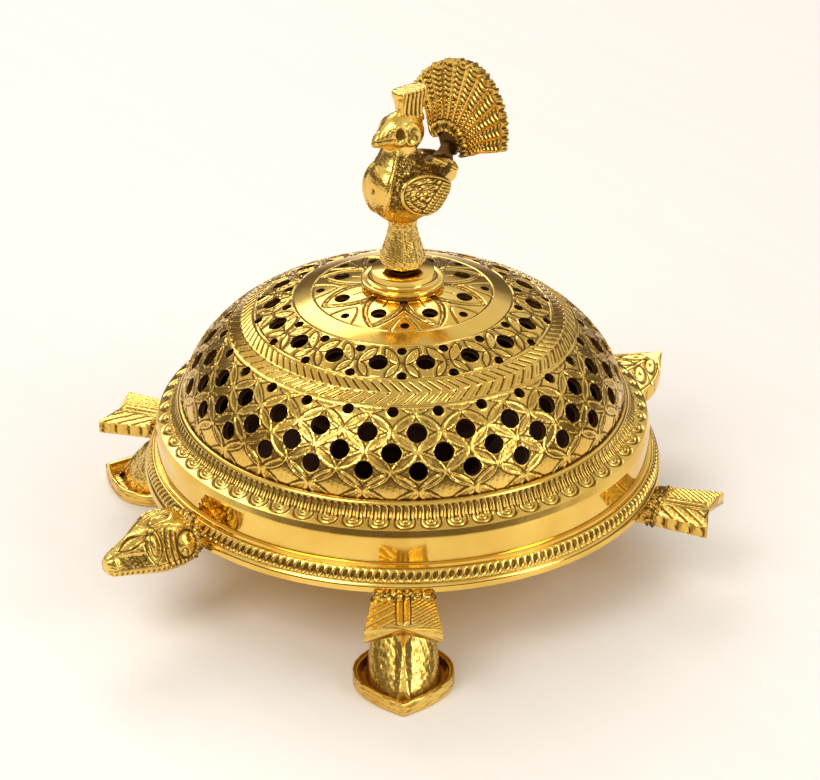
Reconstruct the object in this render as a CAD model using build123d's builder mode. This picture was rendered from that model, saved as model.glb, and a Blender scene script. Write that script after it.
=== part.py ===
"""Brass incense burner: a footed pan with turtle limbs, a pierced dome lid and a peacock finial.

Millimetres, +Z up.  The origin is on the table, under the middle of the pan.
The turtle's head points along -Y and the peacock looks the same way.
"""

import os
from math import asin, cos, degrees, radians, sin

from build123d import *

# ---------------------------------------------------------------- driving sizes
# Heights above the table
limb_underside = 21.0
limb_thickness = 4.0
deck_height = limb_underside + limb_thickness
pan_floor = 2.2
lid_seat = 39.2

# Pan and rim
pan_radius = 71.5
pan_wall = 3.0
rim_radius = 75.1
rim_top = 32.2

# Lid
spigot_gap = 0.3
spigot_depth = 2.7
flange_lip = 2.5
dome_radius = 63.7
dome_foot = 46.3
ledge_top = 47.3
lid_wall = 1.8

# Piercing
lattice_count = 26
lattice_phase = 7.6
crown_count = 18
crown_phase = 11.8
petal_count = 8
petal_phase = 31.1

# Finial
collar_top = 86.4
stud_radius = 2.0
fan_length = 27.4
fan_hub = (0, 16.3, 118.3)
fan_lean = 9.5
fan_turn = 7.0
fan_axis = 75.0
feather_count = 13

# Limbs: angle about Z, counted from +X
front_left_angle = 322.2
front_right_angle = 211.5
rear_left_angle = 33.5
rear_right_angle = 146.5
tail_angle = 90.0
head_reach = 103.0
tail_reach = 102.0

# Ember cup
cup_foot_radius = 22.0
cup_radius = 31.0
cup_top = 46.0

os.makedirs("parts", exist_ok=True)


def save(part, name):
    """Label a finished piece and write it to its own file."""
    part.label = name
    export_step(part, f"parts/{name}.step")


def limb_plane(angle, reach=0.0, height=0.0):
    """Plane standing at a limb: x runs outwards along the limb, z stays up."""
    turn = radians(angle)
    return Plane(
        origin=(reach * cos(turn), reach * sin(turn), height),
        x_dir=(cos(turn), sin(turn), 0),
        z_dir=(0, 0, 1),
    )


# ---------------------------------------------------------------- base pan
cup_ring_inner = cup_foot_radius + 0.5
cup_ring_width = 1.6
cup_ring_height = 1.4
floor_top = deck_height + pan_floor
pan_inner = pan_radius - pan_wall

with BuildPart() as base_pan:
    with BuildSketch(Plane.XZ):
        with BuildLine():
            Polyline(
                (0, deck_height),
                (pan_radius, deck_height),
                (pan_radius, lid_seat),
                (pan_inner, lid_seat),
                (pan_inner, floor_top),
                (cup_ring_inner + cup_ring_width, floor_top),
                (cup_ring_inner + cup_ring_width, floor_top + cup_ring_height),
                (cup_ring_inner, floor_top + cup_ring_height),
                (cup_ring_inner, floor_top),
                (0, floor_top),
                close=True,
            )
        make_face()
    revolve(axis=Axis.Z)
    floor_corner = (
        base_pan.edges()
        .filter_by(GeomType.CIRCLE)
        .filter_by(lambda edge: abs(edge.radius - pan_inner) < 0.01)
        .sort_by(Axis.Z)[0]
    )
    fillet(floor_corner, radius=2.0)
save(base_pan.part, "base_pan")

# ---------------------------------------------------------------- rim ring
# A cast ring brazed round the foot of the pan: a plain skirt under a fluted flare.
with BuildPart() as rim_ring:
    with BuildSketch(Plane.XZ):
        with BuildLine():
            Polyline(
                (pan_radius, rim_top),
                (pan_radius, deck_height),
                (rim_radius, deck_height),
                (rim_radius, deck_height + 1.6),
                (rim_radius - 0.5, deck_height + 2.2),
                (rim_radius - 1.2, deck_height + 4.9),
                (pan_radius + 0.9, rim_top - 0.8),
                (pan_radius + 0.9, rim_top),
                (pan_radius, rim_top),
            )
        make_face()
    revolve(axis=Axis.Z)
save(rim_ring.part, "rim_ring")

# ---------------------------------------------------------------- lid flange
spigot_radius = pan_inner - spigot_gap
flange_inner = 61.0
cove_inner = 66.0
ledge_radius = 65.2

with BuildPart() as lid_flange:
    with BuildSketch(Plane.XZ):
        with BuildLine():
            Polyline(
                (ledge_radius, ledge_top - 0.6),
                (ledge_radius - 0.6, ledge_top),
                (dome_radius, ledge_top),
                (dome_radius, dome_foot),
                (flange_inner, dome_foot),
                (flange_inner, dome_foot - 2.0),
                (cove_inner - 1.6, dome_foot - 4.0),
                (cove_inner, lid_seat + 0.6),
                (cove_inner, lid_seat - spigot_depth),
                (spigot_radius, lid_seat - spigot_depth),
                (spigot_radius, lid_seat),
                (pan_radius, lid_seat),
                (pan_radius - 0.3, lid_seat + flange_lip),
                (pan_radius - 2.2, lid_seat + flange_lip + 0.4),
                (67.6, 43.0),
                (66.0, 44.8),
                (ledge_radius, ledge_top - 0.6),
            )
        make_face()
    revolve(axis=Axis.Z)
save(lid_flange.part, "lid_flange")

# ---------------------------------------------------------------- pierced dome
# The outer face runs from a flat seat for the finial along three tangent arcs, in straight runs.
# The casting is written in two nodes that meet at a seam under the herringbone band.
seat_radius = 11.5
seat_height = 81.4
crown_middle = (25.7, 79.0)
shoulder = (44.0, 72.0)
haunch = (58.8, 59.5)
foot_line = (dome_radius, ledge_top + 0.7)
seam_height = 70.5

arc_runs = (5, 4, 4)

with BuildLine():
    crown_arc = ThreePointArc((seat_radius, seat_height), crown_middle, shoulder)
    shoulder_arc = TangentArc(shoulder, haunch, tangent=crown_arc % 1)
    haunch_arc = TangentArc(haunch, foot_line, tangent=shoulder_arc % 1)

outer_points = [(stud_radius, seat_height)]
inner_points = [(stud_radius, seat_height - lid_wall), (seat_radius - 0.6, seat_height - lid_wall)]
for arc, runs in zip((crown_arc, shoulder_arc, haunch_arc), arc_runs):
    for number in range(runs):
        outer = arc @ (number / runs)
        inner = outer - (outer - arc.arc_center).normalized() * lid_wall
        outer_points.append((outer.X, outer.Y))
        inner_points.append((inner.X, inner.Y))
outer_points += [foot_line, (dome_radius, dome_foot)]
inner_points += [(dome_radius - lid_wall, foot_line[1]), (dome_radius - lid_wall, dome_foot)]


def dome_point(radius):
    """Height of the dome's outer face at a radius, and its tilt from level."""
    for arc in (crown_arc, shoulder_arc, haunch_arc):
        if (arc @ 0).X <= radius <= (arc @ 1).X:
            centre = arc.arc_center
            lean = asin((radius - centre.X) / arc.radius)
            return centre.Y + arc.radius * cos(lean), degrees(lean)
    raise ValueError("radius is off the dome")


def dome_part(trimmed_side):
    """Turned shell of the dome, less what lies on one side of the seam."""
    with BuildPart() as shell:
        with BuildSketch(Plane.XZ):
            Polygon(*outer_points, *reversed(inner_points), align=None)
            with Locations((0, seam_height)):
                trim_size = (3 * dome_radius, dome_radius)
                Rectangle(*trim_size, align=(Align.CENTER, trimmed_side), mode=Mode.SUBTRACT)
        revolve(axis=Axis.Z)
    return shell.part


def hole_punch(radius):
    """Short prism that leaves one filed hole."""
    with BuildPart() as punch:
        with BuildSketch():
            RegularPolygon(hole_corner * radius, hole_sides)
        extrude(amount=punch_reach, both=True)
    return punch.part


def piercing(hole_rings):
    """Punches of several rings: radius of the ring, hole radius, number, first angle."""
    with BuildPart() as punches:
        for ring_radius, hole_radius, hole_count, first_angle in hole_rings:
            ring_height, ring_tilt = dome_point(ring_radius)
            punch = hole_punch(hole_radius)
            with PolarLocations(0, hole_count, start_angle=first_angle):
                with Locations(Location((ring_radius, 0, ring_height), (0, ring_tilt, 0))):
                    add(punch)
    return punches.part


hole_sides = 6
hole_corner = 1.06
punch_reach = 2.6
lattice_step = 360 / lattice_count
crown_step = 360 / crown_count
petal_step = 360 / petal_count
lattice_rings = [
    (61.6, 2.6, lattice_count, lattice_phase),
    (59.1, 2.8, lattice_count, lattice_phase + lattice_step / 2),
    (55.5, 2.8, lattice_count, lattice_phase),
    (51.1, 1.6, lattice_count, lattice_phase + lattice_step / 2),
]
crown_rings = [
    (41.4, 1.4, crown_count, crown_phase + crown_step / 2),
    (37.2, 2.7, crown_count, crown_phase),
    (33.2, 1.4, crown_count, crown_phase + crown_step / 2),
    (23.3, 1.3, petal_count, petal_phase + petal_step / 2),
    (18.6, 2.3, petal_count, petal_phase),
]

with BuildPart() as lid_dome:
    add(dome_part(Align.MIN))
    add(piercing(lattice_rings), mode=Mode.SUBTRACT)
save(lid_dome.part, "lid_dome")

with BuildPart() as lid_crown:
    add(dome_part(Align.MAX))
    add(piercing(crown_rings), mode=Mode.SUBTRACT)
save(lid_crown.part, "lid_crown")

# ---------------------------------------------------------------- finial collar
with BuildPart() as finial_collar:
    with BuildSketch(Plane.XZ):
        with BuildLine():
            Polyline(
                (9.3, collar_top),
                (stud_radius, collar_top),
                (stud_radius, seat_height),
                (seat_radius, seat_height),
                (seat_radius + 0.5, 81.8),
                (seat_radius + 0.5, 82.6),
                (seat_radius, 83.0),
                (9.9, 83.4),
                (9.3, 84.6),
                (9.3, collar_top),
            )
        make_face()
    revolve(axis=Axis.Z)
save(finial_collar.part, "finial_collar")

# ---------------------------------------------------------------- finial fixings
washer_radius = 5.5
washer_thickness = 1.0
nut_thickness = 3.2
nut_across_flats = 7.0
washer_top = seat_height - lid_wall
stud_top = 96.0
stud_foot = washer_top - washer_thickness - nut_thickness - 1.5

with BuildPart() as finial_washer:
    with BuildSketch(Plane.XY.offset(washer_top - washer_thickness)):
        Circle(washer_radius)
        Circle(stud_radius, mode=Mode.SUBTRACT)
    extrude(amount=washer_thickness)
save(finial_washer.part, "finial_washer")

with BuildPart() as finial_nut:
    with BuildSketch(Plane.XY.offset(washer_top - washer_thickness - nut_thickness)):
        RegularPolygon(nut_across_flats / 2, 6, major_radius=False)
        Circle(stud_radius, mode=Mode.SUBTRACT)
    extrude(amount=nut_thickness)
save(finial_nut.part, "finial_nut")

with BuildPart() as finial_stud:
    with BuildSketch(Plane.XY.offset(stud_foot)):
        Circle(stud_radius)
    extrude(amount=stud_top - stud_foot)
    chamfer(finial_stud.edges().filter_by(GeomType.CIRCLE), length=0.4)
save(finial_stud.part, "finial_stud")

# ---------------------------------------------------------------- peacock
tang_thickness = 3.0
tang_front = 9.5
tang_foot = 112.7
rivet_radius = 1.0
rivet_height = 115.6
rivet_depth = 13.0
cheek_width = 4.2
bird_sides = 14

# Bell under the bird: height and corner radius; one corner looks to the left front
bell_facets = 8
bell_corner = -38.0
bell_sections = [(87.5, 5.4), (88.8, 6.5), (92.0, 5.9), (96.0, 4.6), (99.6, 3.8), (104.0, 4.8)]
boss_radius = 3.6
# Torso sections: distance along Y, half width, half height, middle height
torso_sections = [
    (-11.6, 2.6, 3.4, 112.6),
    (-9.4, 6.0, 6.8, 112.0),
    (-5.0, 8.0, 9.2, 111.2),
    (1.0, 8.4, 9.8, 110.6),
    (7.0, 7.4, 8.2, 110.8),
    (12.0, 5.2, 5.4, 112.0),
    (16.4, 3.4, 2.8, 113.2),
]
# Neck sections: height, distance along Y, half width, half depth
neck_sections = [
    (113.0, -2.8, 6.6, 7.4),
    (118.0, -2.4, 5.8, 6.7),
    (122.3, -1.1, 4.4, 5.0),
    (127.0, 0.0, 4.2, 4.8),
]
# Head and beak sections: distance along Y, half width, half height, middle height
beak_sections = [
    (5.8, 1.8, 2.2, 127.8),
    (3.8, 4.2, 4.7, 127.8),
    (-0.4, 5.1, 5.8, 128.0),
    (-4.2, 4.2, 5.0, 128.2),
    (-7.6, 2.3, 2.8, 127.4),
    (-10.8, 0.7, 0.8, 126.5),
]
# Crest sections: height, half width, half depth
crest_sections = [(130.6, 2.3, 4.7), (140.3, 2.8, 5.7)]
crest_middle = 2.5
# Folded wing: outline in Y and Z, its middle, and sections of distance and share of the outline
wing_outline = [
    (-7.3, 113.6),
    (-6.6, 110.0),
    (-3.3, 106.6),
    (2.1, 104.3),
    (6.8, 105.2),
    (10.2, 109.4),
    (11.4, 112.8),
    (7.4, 115.2),
    (2.6, 117.4),
    (-2.6, 117.8),
    (-6.2, 116.4),
]
wing_middle = (2.2, 111.4)
wing_sections = [(4.0, 1.0), (8.0, 0.97), (9.4, 0.84), (9.9, 0.6)]
saddle_outline = [
    (4.0, 112.0),
    (4.0, 118.4),
    (9.0, 119.4),
    (14.8, 117.6),
    (17.0, 114.2),
    (16.0, 110.8),
    (11.0, 109.0),
]
tang_outline = [
    (tang_front, tang_foot),
    (tang_front, 117.5),
    (13.8, 119.0),
    (15.4, 121.0),
    (17.4, 121.0),
    (16.8, tang_foot),
]


def oval(half_width, half_height):
    """Many-sided oval in the sketch that calls it."""
    corners = []
    for number in range(bird_sides):
        turn = radians(360 * (number + 0.5) / bird_sides)
        corners.append((half_width * cos(turn), half_height * sin(turn)))
    Polygon(*corners, align=None)


def fan_point(radius, turn):
    """Point of the fan's own plane at a radius and an angle from its right side."""
    return (radius * cos(radians(turn)), radius * sin(radians(turn)))


with BuildPart() as peacock:
    with BuildSketch(Plane.XY.offset(collar_top)):
        Circle(boss_radius)
    extrude(amount=2.0)
    for height, radius in bell_sections:
        with BuildSketch(Plane.XY.offset(height)):
            RegularPolygon(radius, bell_facets, rotation=bell_corner)
    loft(ruled=True)
    for distance, half_width, half_height, middle in torso_sections:
        with BuildSketch(Plane(origin=(0, distance, middle), x_dir=(1, 0, 0), z_dir=(0, -1, 0))):
            oval(half_width, half_height)
    loft(ruled=True)
    for height, distance, half_width, half_depth in neck_sections:
        with BuildSketch(Plane(origin=(0, distance, height))):
            oval(half_width, half_depth)
    loft(ruled=True)
    for distance, half_width, half_height, middle in beak_sections:
        with BuildSketch(Plane(origin=(0, distance, middle), x_dir=(1, 0, 0), z_dir=(0, -1, 0))):
            oval(half_width, half_height)
    loft(ruled=True)
    for height, half_width, half_depth in crest_sections:
        with BuildSketch(Plane(origin=(0, crest_middle, height))):
            oval(half_width, half_depth)
    loft(ruled=True)
    for side in (-1, 1):
        for distance, share in wing_sections:
            with BuildSketch(Plane.YZ.offset(side * distance)):
                corners = []
                for y, z in wing_outline:
                    reach = (y - wing_middle[0]) * share
                    rise = (z - wing_middle[1]) * share
                    corners.append((wing_middle[0] + reach, wing_middle[1] + rise))
                Polygon(*corners, align=None)
        loft(ruled=True)
    # Saddle on the back, slotted for the tang of the fan and pinned by a rivet
    with BuildSketch(Plane.YZ):
        Polygon(*saddle_outline, align=None)
    extrude(amount=cheek_width, both=True)
    with Locations((0, tang_front, tang_foot)):
        Box(tang_thickness, 10.0, 10.0, align=(Align.CENTER, Align.MIN, Align.MIN), mode=Mode.SUBTRACT)
    with Locations((0, 0, collar_top)):
        Cylinder(stud_radius, 2 * (stud_top - collar_top), mode=Mode.SUBTRACT)
    with Locations(Location((0, rivet_depth, rivet_height), (0, 90, 0))):
        Cylinder(rivet_radius, 30, mode=Mode.SUBTRACT)
save(peacock.part, "peacock")

# ---------------------------------------------------------------- tail fan
# The fan leans back and is turned and tilted a little, as it was pinned by hand.
fan_thickness = 2.4
fan_spread = 122.0
fan_taper = 0.21
notch_depth = 1.1
fan_foot = [(7.4, 3.3), (3.6, 0.4), (-3.6, 0.4), (-7.6, 5.0)]
feather_step = fan_spread / (feather_count - 1)
lean_cos = cos(radians(fan_lean))
lean_sin = sin(radians(fan_lean))
turn_cos = cos(radians(fan_turn))
turn_sin = sin(radians(fan_turn))
fan_sheet = Plane(
    origin=fan_hub,
    x_dir=(turn_cos, turn_sin, 0),
    z_dir=(lean_cos * turn_sin, -lean_cos * turn_cos, lean_sin),
)

with BuildPart() as peacock_fan:
    fan_corners = []
    for half_step in range(2 * feather_count - 1):
        swing = (half_step / 2) * feather_step - fan_spread / 2
        feather_length = fan_length * (1 - fan_taper * abs(2 * swing / fan_spread) ** 1.4)
        if half_step % 2:
            feather_length -= notch_depth
        fan_corners.append(fan_point(feather_length, fan_axis + swing))
    with BuildSketch(fan_sheet):
        Polygon(*reversed(fan_foot), *fan_corners, align=None)
    extrude(amount=fan_thickness / 2, both=True)
    with BuildSketch(Plane.YZ):
        Polygon(*tang_outline, align=None)
    extrude(amount=tang_thickness / 2, both=True)
    with Locations(Location((0, rivet_depth, rivet_height), (0, 90, 0))):
        Cylinder(rivet_radius, 30, mode=Mode.SUBTRACT)
save(peacock_fan.part, "peacock_fan")

with BuildPart() as fan_rivet:
    with Locations(Location((0, rivet_depth, rivet_height), (0, 90, 0))):
        Cylinder(rivet_radius, 9.0)
save(fan_rivet.part, "fan_rivet")

# ---------------------------------------------------------------- turtle head
# Sections: reach, jaw half width, underside, ridge, brow half width, brow height
head_sections = [
    (75.1, 6.6, 23.2, 34.0, 4.6, 32.2),
    (78.0, 7.8, 22.3, 35.3, 5.1, 33.5),
    (82.0, 8.8, 21.9, 36.5, 5.1, 34.8),
    (87.0, 8.7, 21.8, 36.9, 4.0, 35.7),
    (91.0, 7.7, 22.1, 35.8, 2.9, 34.6),
    (96.0, 5.4, 22.5, 33.0, 2.1, 31.9),
    (100.0, 3.7, 22.9, 30.7, 1.7, 29.9),
    (head_reach, 1.7, 24.4, 28.7, 1.0, 28.2),
]

with BuildPart() as turtle_head:
    for reach, jaw, underside, ridge, brow, brow_height in head_sections:
        cheek = ((brow + jaw) / 2 + 0.4, (brow_height + underside) / 2 + 0.6)
        right_side = [(brow, brow_height), cheek, (jaw, underside + 2.2), (0.6 * jaw, underside)]
        left_side = [(-x, z) for x, z in reversed(right_side)]
        with BuildSketch(Plane(origin=(0, -reach, 0), x_dir=(1, 0, 0), z_dir=(0, -1, 0))):
            Polygon((0, ridge), *right_side, *left_side, align=None)
    loft(ruled=True)
save(turtle_head.part, "turtle_head")

# ---------------------------------------------------------------- flippers
flipper_root = 60.0
flipper_tip = 93.6
flipper_notch = 89.4


def flipper(angle):
    """Flat limb with a swallow-tail end, its root under the pan."""
    with BuildPart() as limb:
        with BuildSketch(limb_plane(angle, height=limb_underside)):
            with BuildLine():
                Line((flipper_root, 0), (flipper_root, 7.0))
                Spline((flipper_root, 7.0), (74.0, 8.0), (84.0, 9.2), (flipper_tip, 10.6))
                Line((flipper_tip, 10.6), (flipper_notch, 0))
                mirror(about=Plane.XZ)
            make_face()
        extrude(amount=limb_thickness)
        chamfer(limb.faces().sort_by(Axis.Z)[-1].edges(), length=0.5)
    return limb.part


for limb_name, limb_angle in (
    ("front_left_flipper", front_left_angle),
    ("front_right_flipper", front_right_angle),
    ("rear_left_flipper", rear_left_angle),
    ("rear_right_flipper", rear_right_angle),
):
    save(flipper(limb_angle), limb_name)

# ---------------------------------------------------------------- turtle tail
with BuildPart() as turtle_tail:
    with BuildSketch(limb_plane(tail_angle, height=limb_underside)):
        with BuildLine():
            Line((flipper_root, 0), (flipper_root, 5.0))
            Spline((flipper_root, 5.0), (72.0, 9.0), (82.0, 13.2), (92.0, 9.4), (tail_reach, 0))
            mirror(about=Plane.XZ)
        make_face()
    extrude(amount=10.0)
    with BuildSketch(Plane.YZ):
        with BuildLine():
            Polyline(
                (76.0, deck_height),
                (flipper_root, deck_height),
                (flipper_root, limb_underside),
                (80.0, limb_underside),
            )
            ThreePointArc((80.0, limb_underside), (92.0, 22.8), (tail_reach, 26.6))
            Line((tail_reach, 26.6), (tail_reach, 28.2))
            ThreePointArc((tail_reach, 28.2), (90.0, 26.6), (76.0, deck_height))
        make_face()
    extrude(amount=20.0, both=True, mode=Mode.INTERSECT)
save(turtle_tail.part, "turtle_tail")

# ---------------------------------------------------------------- spade feet
foot_rim = 4.0
foot_sole = 1.4
foot_wall = 1.9


# Leg sections: height, and corners as distance back from the point and side
leg_sections = [
    (foot_sole, [(3.6, 0), (14.0, 9.4), (27.5, 6.4), (27.5, -6.4), (14.0, -9.4)]),
    (9.0, [(13.7, 0), (20.9, 8.2), (32.4, 6.4), (32.4, -6.4), (20.9, -8.2)]),
    (limb_underside, [(21.0, 0), (26.0, 7.4), (36.0, 6.4), (36.0, -6.4), (26.0, -7.4)]),
]


def spade_foot(angle, reach):
    """Cupped spade on the table with a ridged leg rising to the limb above it."""
    with BuildPart() as foot:
        with BuildSketch(limb_plane(angle)) as outline:
            with BuildLine():
                Spline(
                    (reach, 0),
                    (reach - 5.5, 7.4),
                    (reach - 13.0, 13.0),
                    (reach - 21.0, 13.4),
                    (reach - 28.0, 9.0),
                    (reach - 31.5, 0),
                )
                mirror(about=Plane.XZ)
            make_face()
        extrude(amount=foot_rim)
        with BuildSketch(limb_plane(angle, height=foot_sole)):
            add(outline.sketch.faces()[0])
            offset(amount=-foot_wall, mode=Mode.REPLACE)
        extrude(amount=foot_rim, mode=Mode.SUBTRACT)
        for height, leg_outline in leg_sections:
            with BuildSketch(limb_plane(angle, height=height)):
                Polygon(*[(reach - back, side) for back, side in leg_outline], align=None)
        loft(ruled=True)
    return foot.part


for foot_name, foot_angle, foot_reach in (
    ("front_left_foot", front_left_angle, 97.5),
    ("front_right_foot", front_right_angle, 97.5),
    ("rear_foot", tail_angle, 95.5),
):
    save(spade_foot(foot_angle, foot_reach), foot_name)

# ---------------------------------------------------------------- ember cup
cup_floor = floor_top + 2.0
cup_hip = floor_top + 2.2

with BuildPart() as ember_cup:
    with BuildSketch(Plane.XZ):
        with BuildLine():
            Polyline(
                (0, floor_top + 0.8),
                (cup_foot_radius - 1.8, floor_top + 0.8),
                (cup_foot_radius - 1.8, floor_top),
                (cup_foot_radius, floor_top),
            )
            Polyline(
                (cup_foot_radius, floor_top),
                (cup_foot_radius, cup_hip),
                (25.6, 32.6),
                (28.0, 36.4),
                (29.4, 40.4),
                (cup_radius - 1.0, cup_top - 1.4),
                (cup_radius, cup_top - 1.4),
                (cup_radius, cup_top),
                (cup_radius - 2.4, cup_top),
                (27.9, 41.4),
                (26.2, 37.0),
                (23.3, 32.6),
                (19.0, cup_floor),
                (0, cup_floor),
                (0, floor_top + 0.8),
            )
        make_face()
    revolve(axis=Axis.Z)
save(ember_cup.part, "ember_cup")
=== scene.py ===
"""Dress the brass incense burner: turtle-limbed pan, pierced dome lid and peacock finial."""

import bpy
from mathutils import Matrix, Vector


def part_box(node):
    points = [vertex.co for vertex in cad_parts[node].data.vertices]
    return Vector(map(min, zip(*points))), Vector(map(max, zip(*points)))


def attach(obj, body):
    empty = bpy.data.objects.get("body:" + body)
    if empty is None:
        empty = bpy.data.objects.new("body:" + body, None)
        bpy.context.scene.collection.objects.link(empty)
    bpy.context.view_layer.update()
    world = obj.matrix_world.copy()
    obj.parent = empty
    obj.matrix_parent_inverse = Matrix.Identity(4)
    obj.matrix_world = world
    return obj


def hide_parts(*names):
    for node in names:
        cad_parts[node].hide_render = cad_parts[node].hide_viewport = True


bl_info = {
    "name": "Turtle Incense Burner",
    "version": (1, 0, 0),
    "blender": (4, 5, 0),
    "location": "3D View > Sidebar > Burner",
    "description": "Builds the cast, pierced and engraved pieces of a brass incense burner",
    "category": "Add Mesh",
}

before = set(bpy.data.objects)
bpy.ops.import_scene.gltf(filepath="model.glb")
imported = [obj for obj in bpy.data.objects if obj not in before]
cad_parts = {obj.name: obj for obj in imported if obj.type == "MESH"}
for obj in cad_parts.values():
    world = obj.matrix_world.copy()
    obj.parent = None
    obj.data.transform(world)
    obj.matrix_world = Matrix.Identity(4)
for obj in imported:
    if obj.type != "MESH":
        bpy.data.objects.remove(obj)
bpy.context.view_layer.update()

from functools import reduce
from math import atan2, ceil, cos, pi, radians, sin, sqrt, tau

import bpy
import numpy as np
from bpy.props import FloatProperty, FloatVectorProperty, IntProperty, PointerProperty
from mathutils import Vector
from mathutils.geometry import delaunay_2d_cdt

MM = 0.001


def box_mm(node):
    """Low and high corner of a node's box, in millimetres."""
    return [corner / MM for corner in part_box(node)]


# Heights and radii of the frame, in millimetres
PAN, RIM, DOME = box_mm("base_pan"), box_mm("rim_ring"), box_mm("lid_dome")
COLLAR, CUP = box_mm("finial_collar"), box_mm("ember_cup")
DECK, LID_SEAT, PAN_RADIUS = PAN[0].z, PAN[1].z, PAN[1].x
RIM_RADIUS, RIM_TOP = RIM[1].x, RIM[1].z
DOME_RADIUS, DOME_FOOT = DOME[1].x, DOME[0].z
DOME_SEAT = box_mm("lid_crown")[1].z
FLANGE_TOP = box_mm("lid_flange")[1].z


# ------------------------------------------------------------------ settings
def count_setting(name, description, default, low):
    return IntProperty(name=name, description=description, default=default, min=low)


def angle_setting(name, description, degrees):
    return FloatProperty(name=name, description=description, default=radians(degrees), subtype="ANGLE")


def length_setting(name, description, size):
    return FloatProperty(name=name, description=description, default=size * MM, unit="LENGTH")


def colour_setting(name, description, colour):
    return FloatVectorProperty(name=name, description=description, default=colour, subtype="COLOR")


class BURNER_PG_sizes(bpy.types.PropertyGroup):
    """Sizes that the carving follows."""

    lattice_count: count_setting("Lattice repeats", "Holes in each ring of the lower lattice", 26, 6)
    crown_count: count_setting("Crown repeats", "Large holes in the ring near the top", 18, 6)
    petal_count: count_setting("Petals", "Petals in the medallion round the finial", 8, 4)
    arch_count: count_setting("Arches", "Arches hanging round the flange, an even number", 60, 12)
    lattice_phase: angle_setting("Lattice turn", "Angle of the first lattice hole", 7.6)
    crown_phase: angle_setting("Crown turn", "Angle of the first crown hole", 11.8)
    petal_phase: angle_setting("Petal turn", "Angle of the first petal", 31.1)
    wall: length_setting("Lid wall", "Thickness of the dome", 1.8)
    hand_cut: length_setting("Hand cut", "How far carved lines wander", 0.16)


class BURNER_PG_finish(bpy.types.PropertyGroup):
    """Colours of the brass and the table."""

    bright: colour_setting("Bright brass", "Colour of polished brass", (0.93, 0.66, 0.165))
    warm: colour_setting("Warm brass", "Colour of brass that has toned", (0.76, 0.46, 0.085))
    # The patina colour also colours the painted shade and painted shadows that the recess layer carries
    patina: colour_setting("Patina", "Colour left in the recesses", (0.135, 0.068, 0.012))
    # Painted shade: a near-black red-brown for the inside of the lid, pan and cup, which lies in shade
    soot: colour_setting("Soot", "Colour of the shadowed inside", (0.10, 0.032, 0.012))
    floor: colour_setting("Table", "Colour of the table top", (0.95, 0.92, 0.885))


def sizes():
    """The size settings of this scene."""
    return bpy.context.scene.burner_sizes


def finish():
    """The finish settings of this scene."""
    return bpy.context.scene.burner_finish


# ------------------------------------------------------------------ profile curves
def step_lengths(points):
    """Distance along a line at each of its points."""
    return np.r_[0, np.cumsum(np.hypot(*np.diff(points, axis=0).T))]


def arc_points(start, middle, end, count):
    """Points along the circle through three points, start and end included."""
    (x0, y0), (x1, y1), (x2, y2) = start, middle, end
    turn = 2 * (x0 * (y1 - y2) + x1 * (y2 - y0) + x2 * (y0 - y1))
    s0, s1, s2 = x0 * x0 + y0 * y0, x1 * x1 + y1 * y1, x2 * x2 + y2 * y2
    cx = (s0 * (y1 - y2) + s1 * (y2 - y0) + s2 * (y0 - y1)) / turn
    cy = (s0 * (x2 - x1) + s1 * (x0 - x2) + s2 * (x1 - x0)) / turn
    radius = sqrt((x0 - cx) ** 2 + (y0 - cy) ** 2)
    angles = np.unwrap([atan2(y - cy, x - cx) for x, y in (start, middle, end)])
    path = np.linspace(angles[0], angles[2], count)
    return np.column_stack([cx + radius * np.cos(path), cy + radius * np.sin(path)])


def tangent_arc(start, direction, end, count):
    """Points along the circle that leaves start in a direction and reaches end."""
    start, end = np.array(start, float), np.array(end, float)
    direction = np.array(direction, float) / np.hypot(*direction)
    chord = end - start
    normal = np.array([-direction[1], direction[0]])
    radius = (chord @ chord) / (2 * (chord @ normal))
    centre = start + radius * normal
    first, last = np.unwrap([atan2(*(point - centre)[::-1]) for point in (start, end)])
    path = np.linspace(first, last, count)
    points = centre + abs(radius) * np.column_stack([np.cos(path), np.sin(path)])
    leaving = np.array([-np.sin(last), np.cos(last)]) * np.sign(last - first)
    return points, leaving


class Profile:
    """A turned outline measured by its length, with outward normals."""

    def __init__(self, points):
        points = np.array(points, float)
        keep = np.r_[True, np.hypot(*np.diff(points, axis=0).T) > 1e-6]
        self.points = points[keep]
        self.length = step_lengths(self.points)
        tangent = np.gradient(self.points, self.length, axis=0)
        tangent /= np.hypot(*tangent.T)[:, None]
        self.normals = np.column_stack([tangent[:, 1], -tangent[:, 0]])

    def at(self, run):
        """Radius and height at a distance along the outline."""
        return [np.interp(run, self.length, self.points[:, axis]) for axis in (0, 1)]

    def normal(self, run):
        """Outward normal at a distance along the outline."""
        r, z = (np.interp(run, self.length, self.normals[:, axis]) for axis in (0, 1))
        size = np.hypot(r, z)
        return r / size, z / size

    def run_at_radius(self, radius):
        """Distance along an outline whose radius grows or shrinks all the way."""
        order = np.argsort(self.points[:, 0])
        return float(np.interp(radius, self.points[order, 0], self.length[order]))

    def sector_width(self, run, count):
        """Width of one of count sectors at a distance along the outline."""
        return float(self.at(run)[0]) * tau / count

    def solid(self, turn, run, lift, count):
        """Points lifted off one of count sectors, at turns 0..1 across it and distances along it."""
        (radius, height), (out, up) = self.at(run), self.normal(run)
        angle = (turn - 0.5) * tau / count
        radius = radius + lift * out
        axes = radius * np.cos(angle), radius * np.sin(angle), height + lift * up
        return np.column_stack([axis.ravel() for axis in axes])


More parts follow.
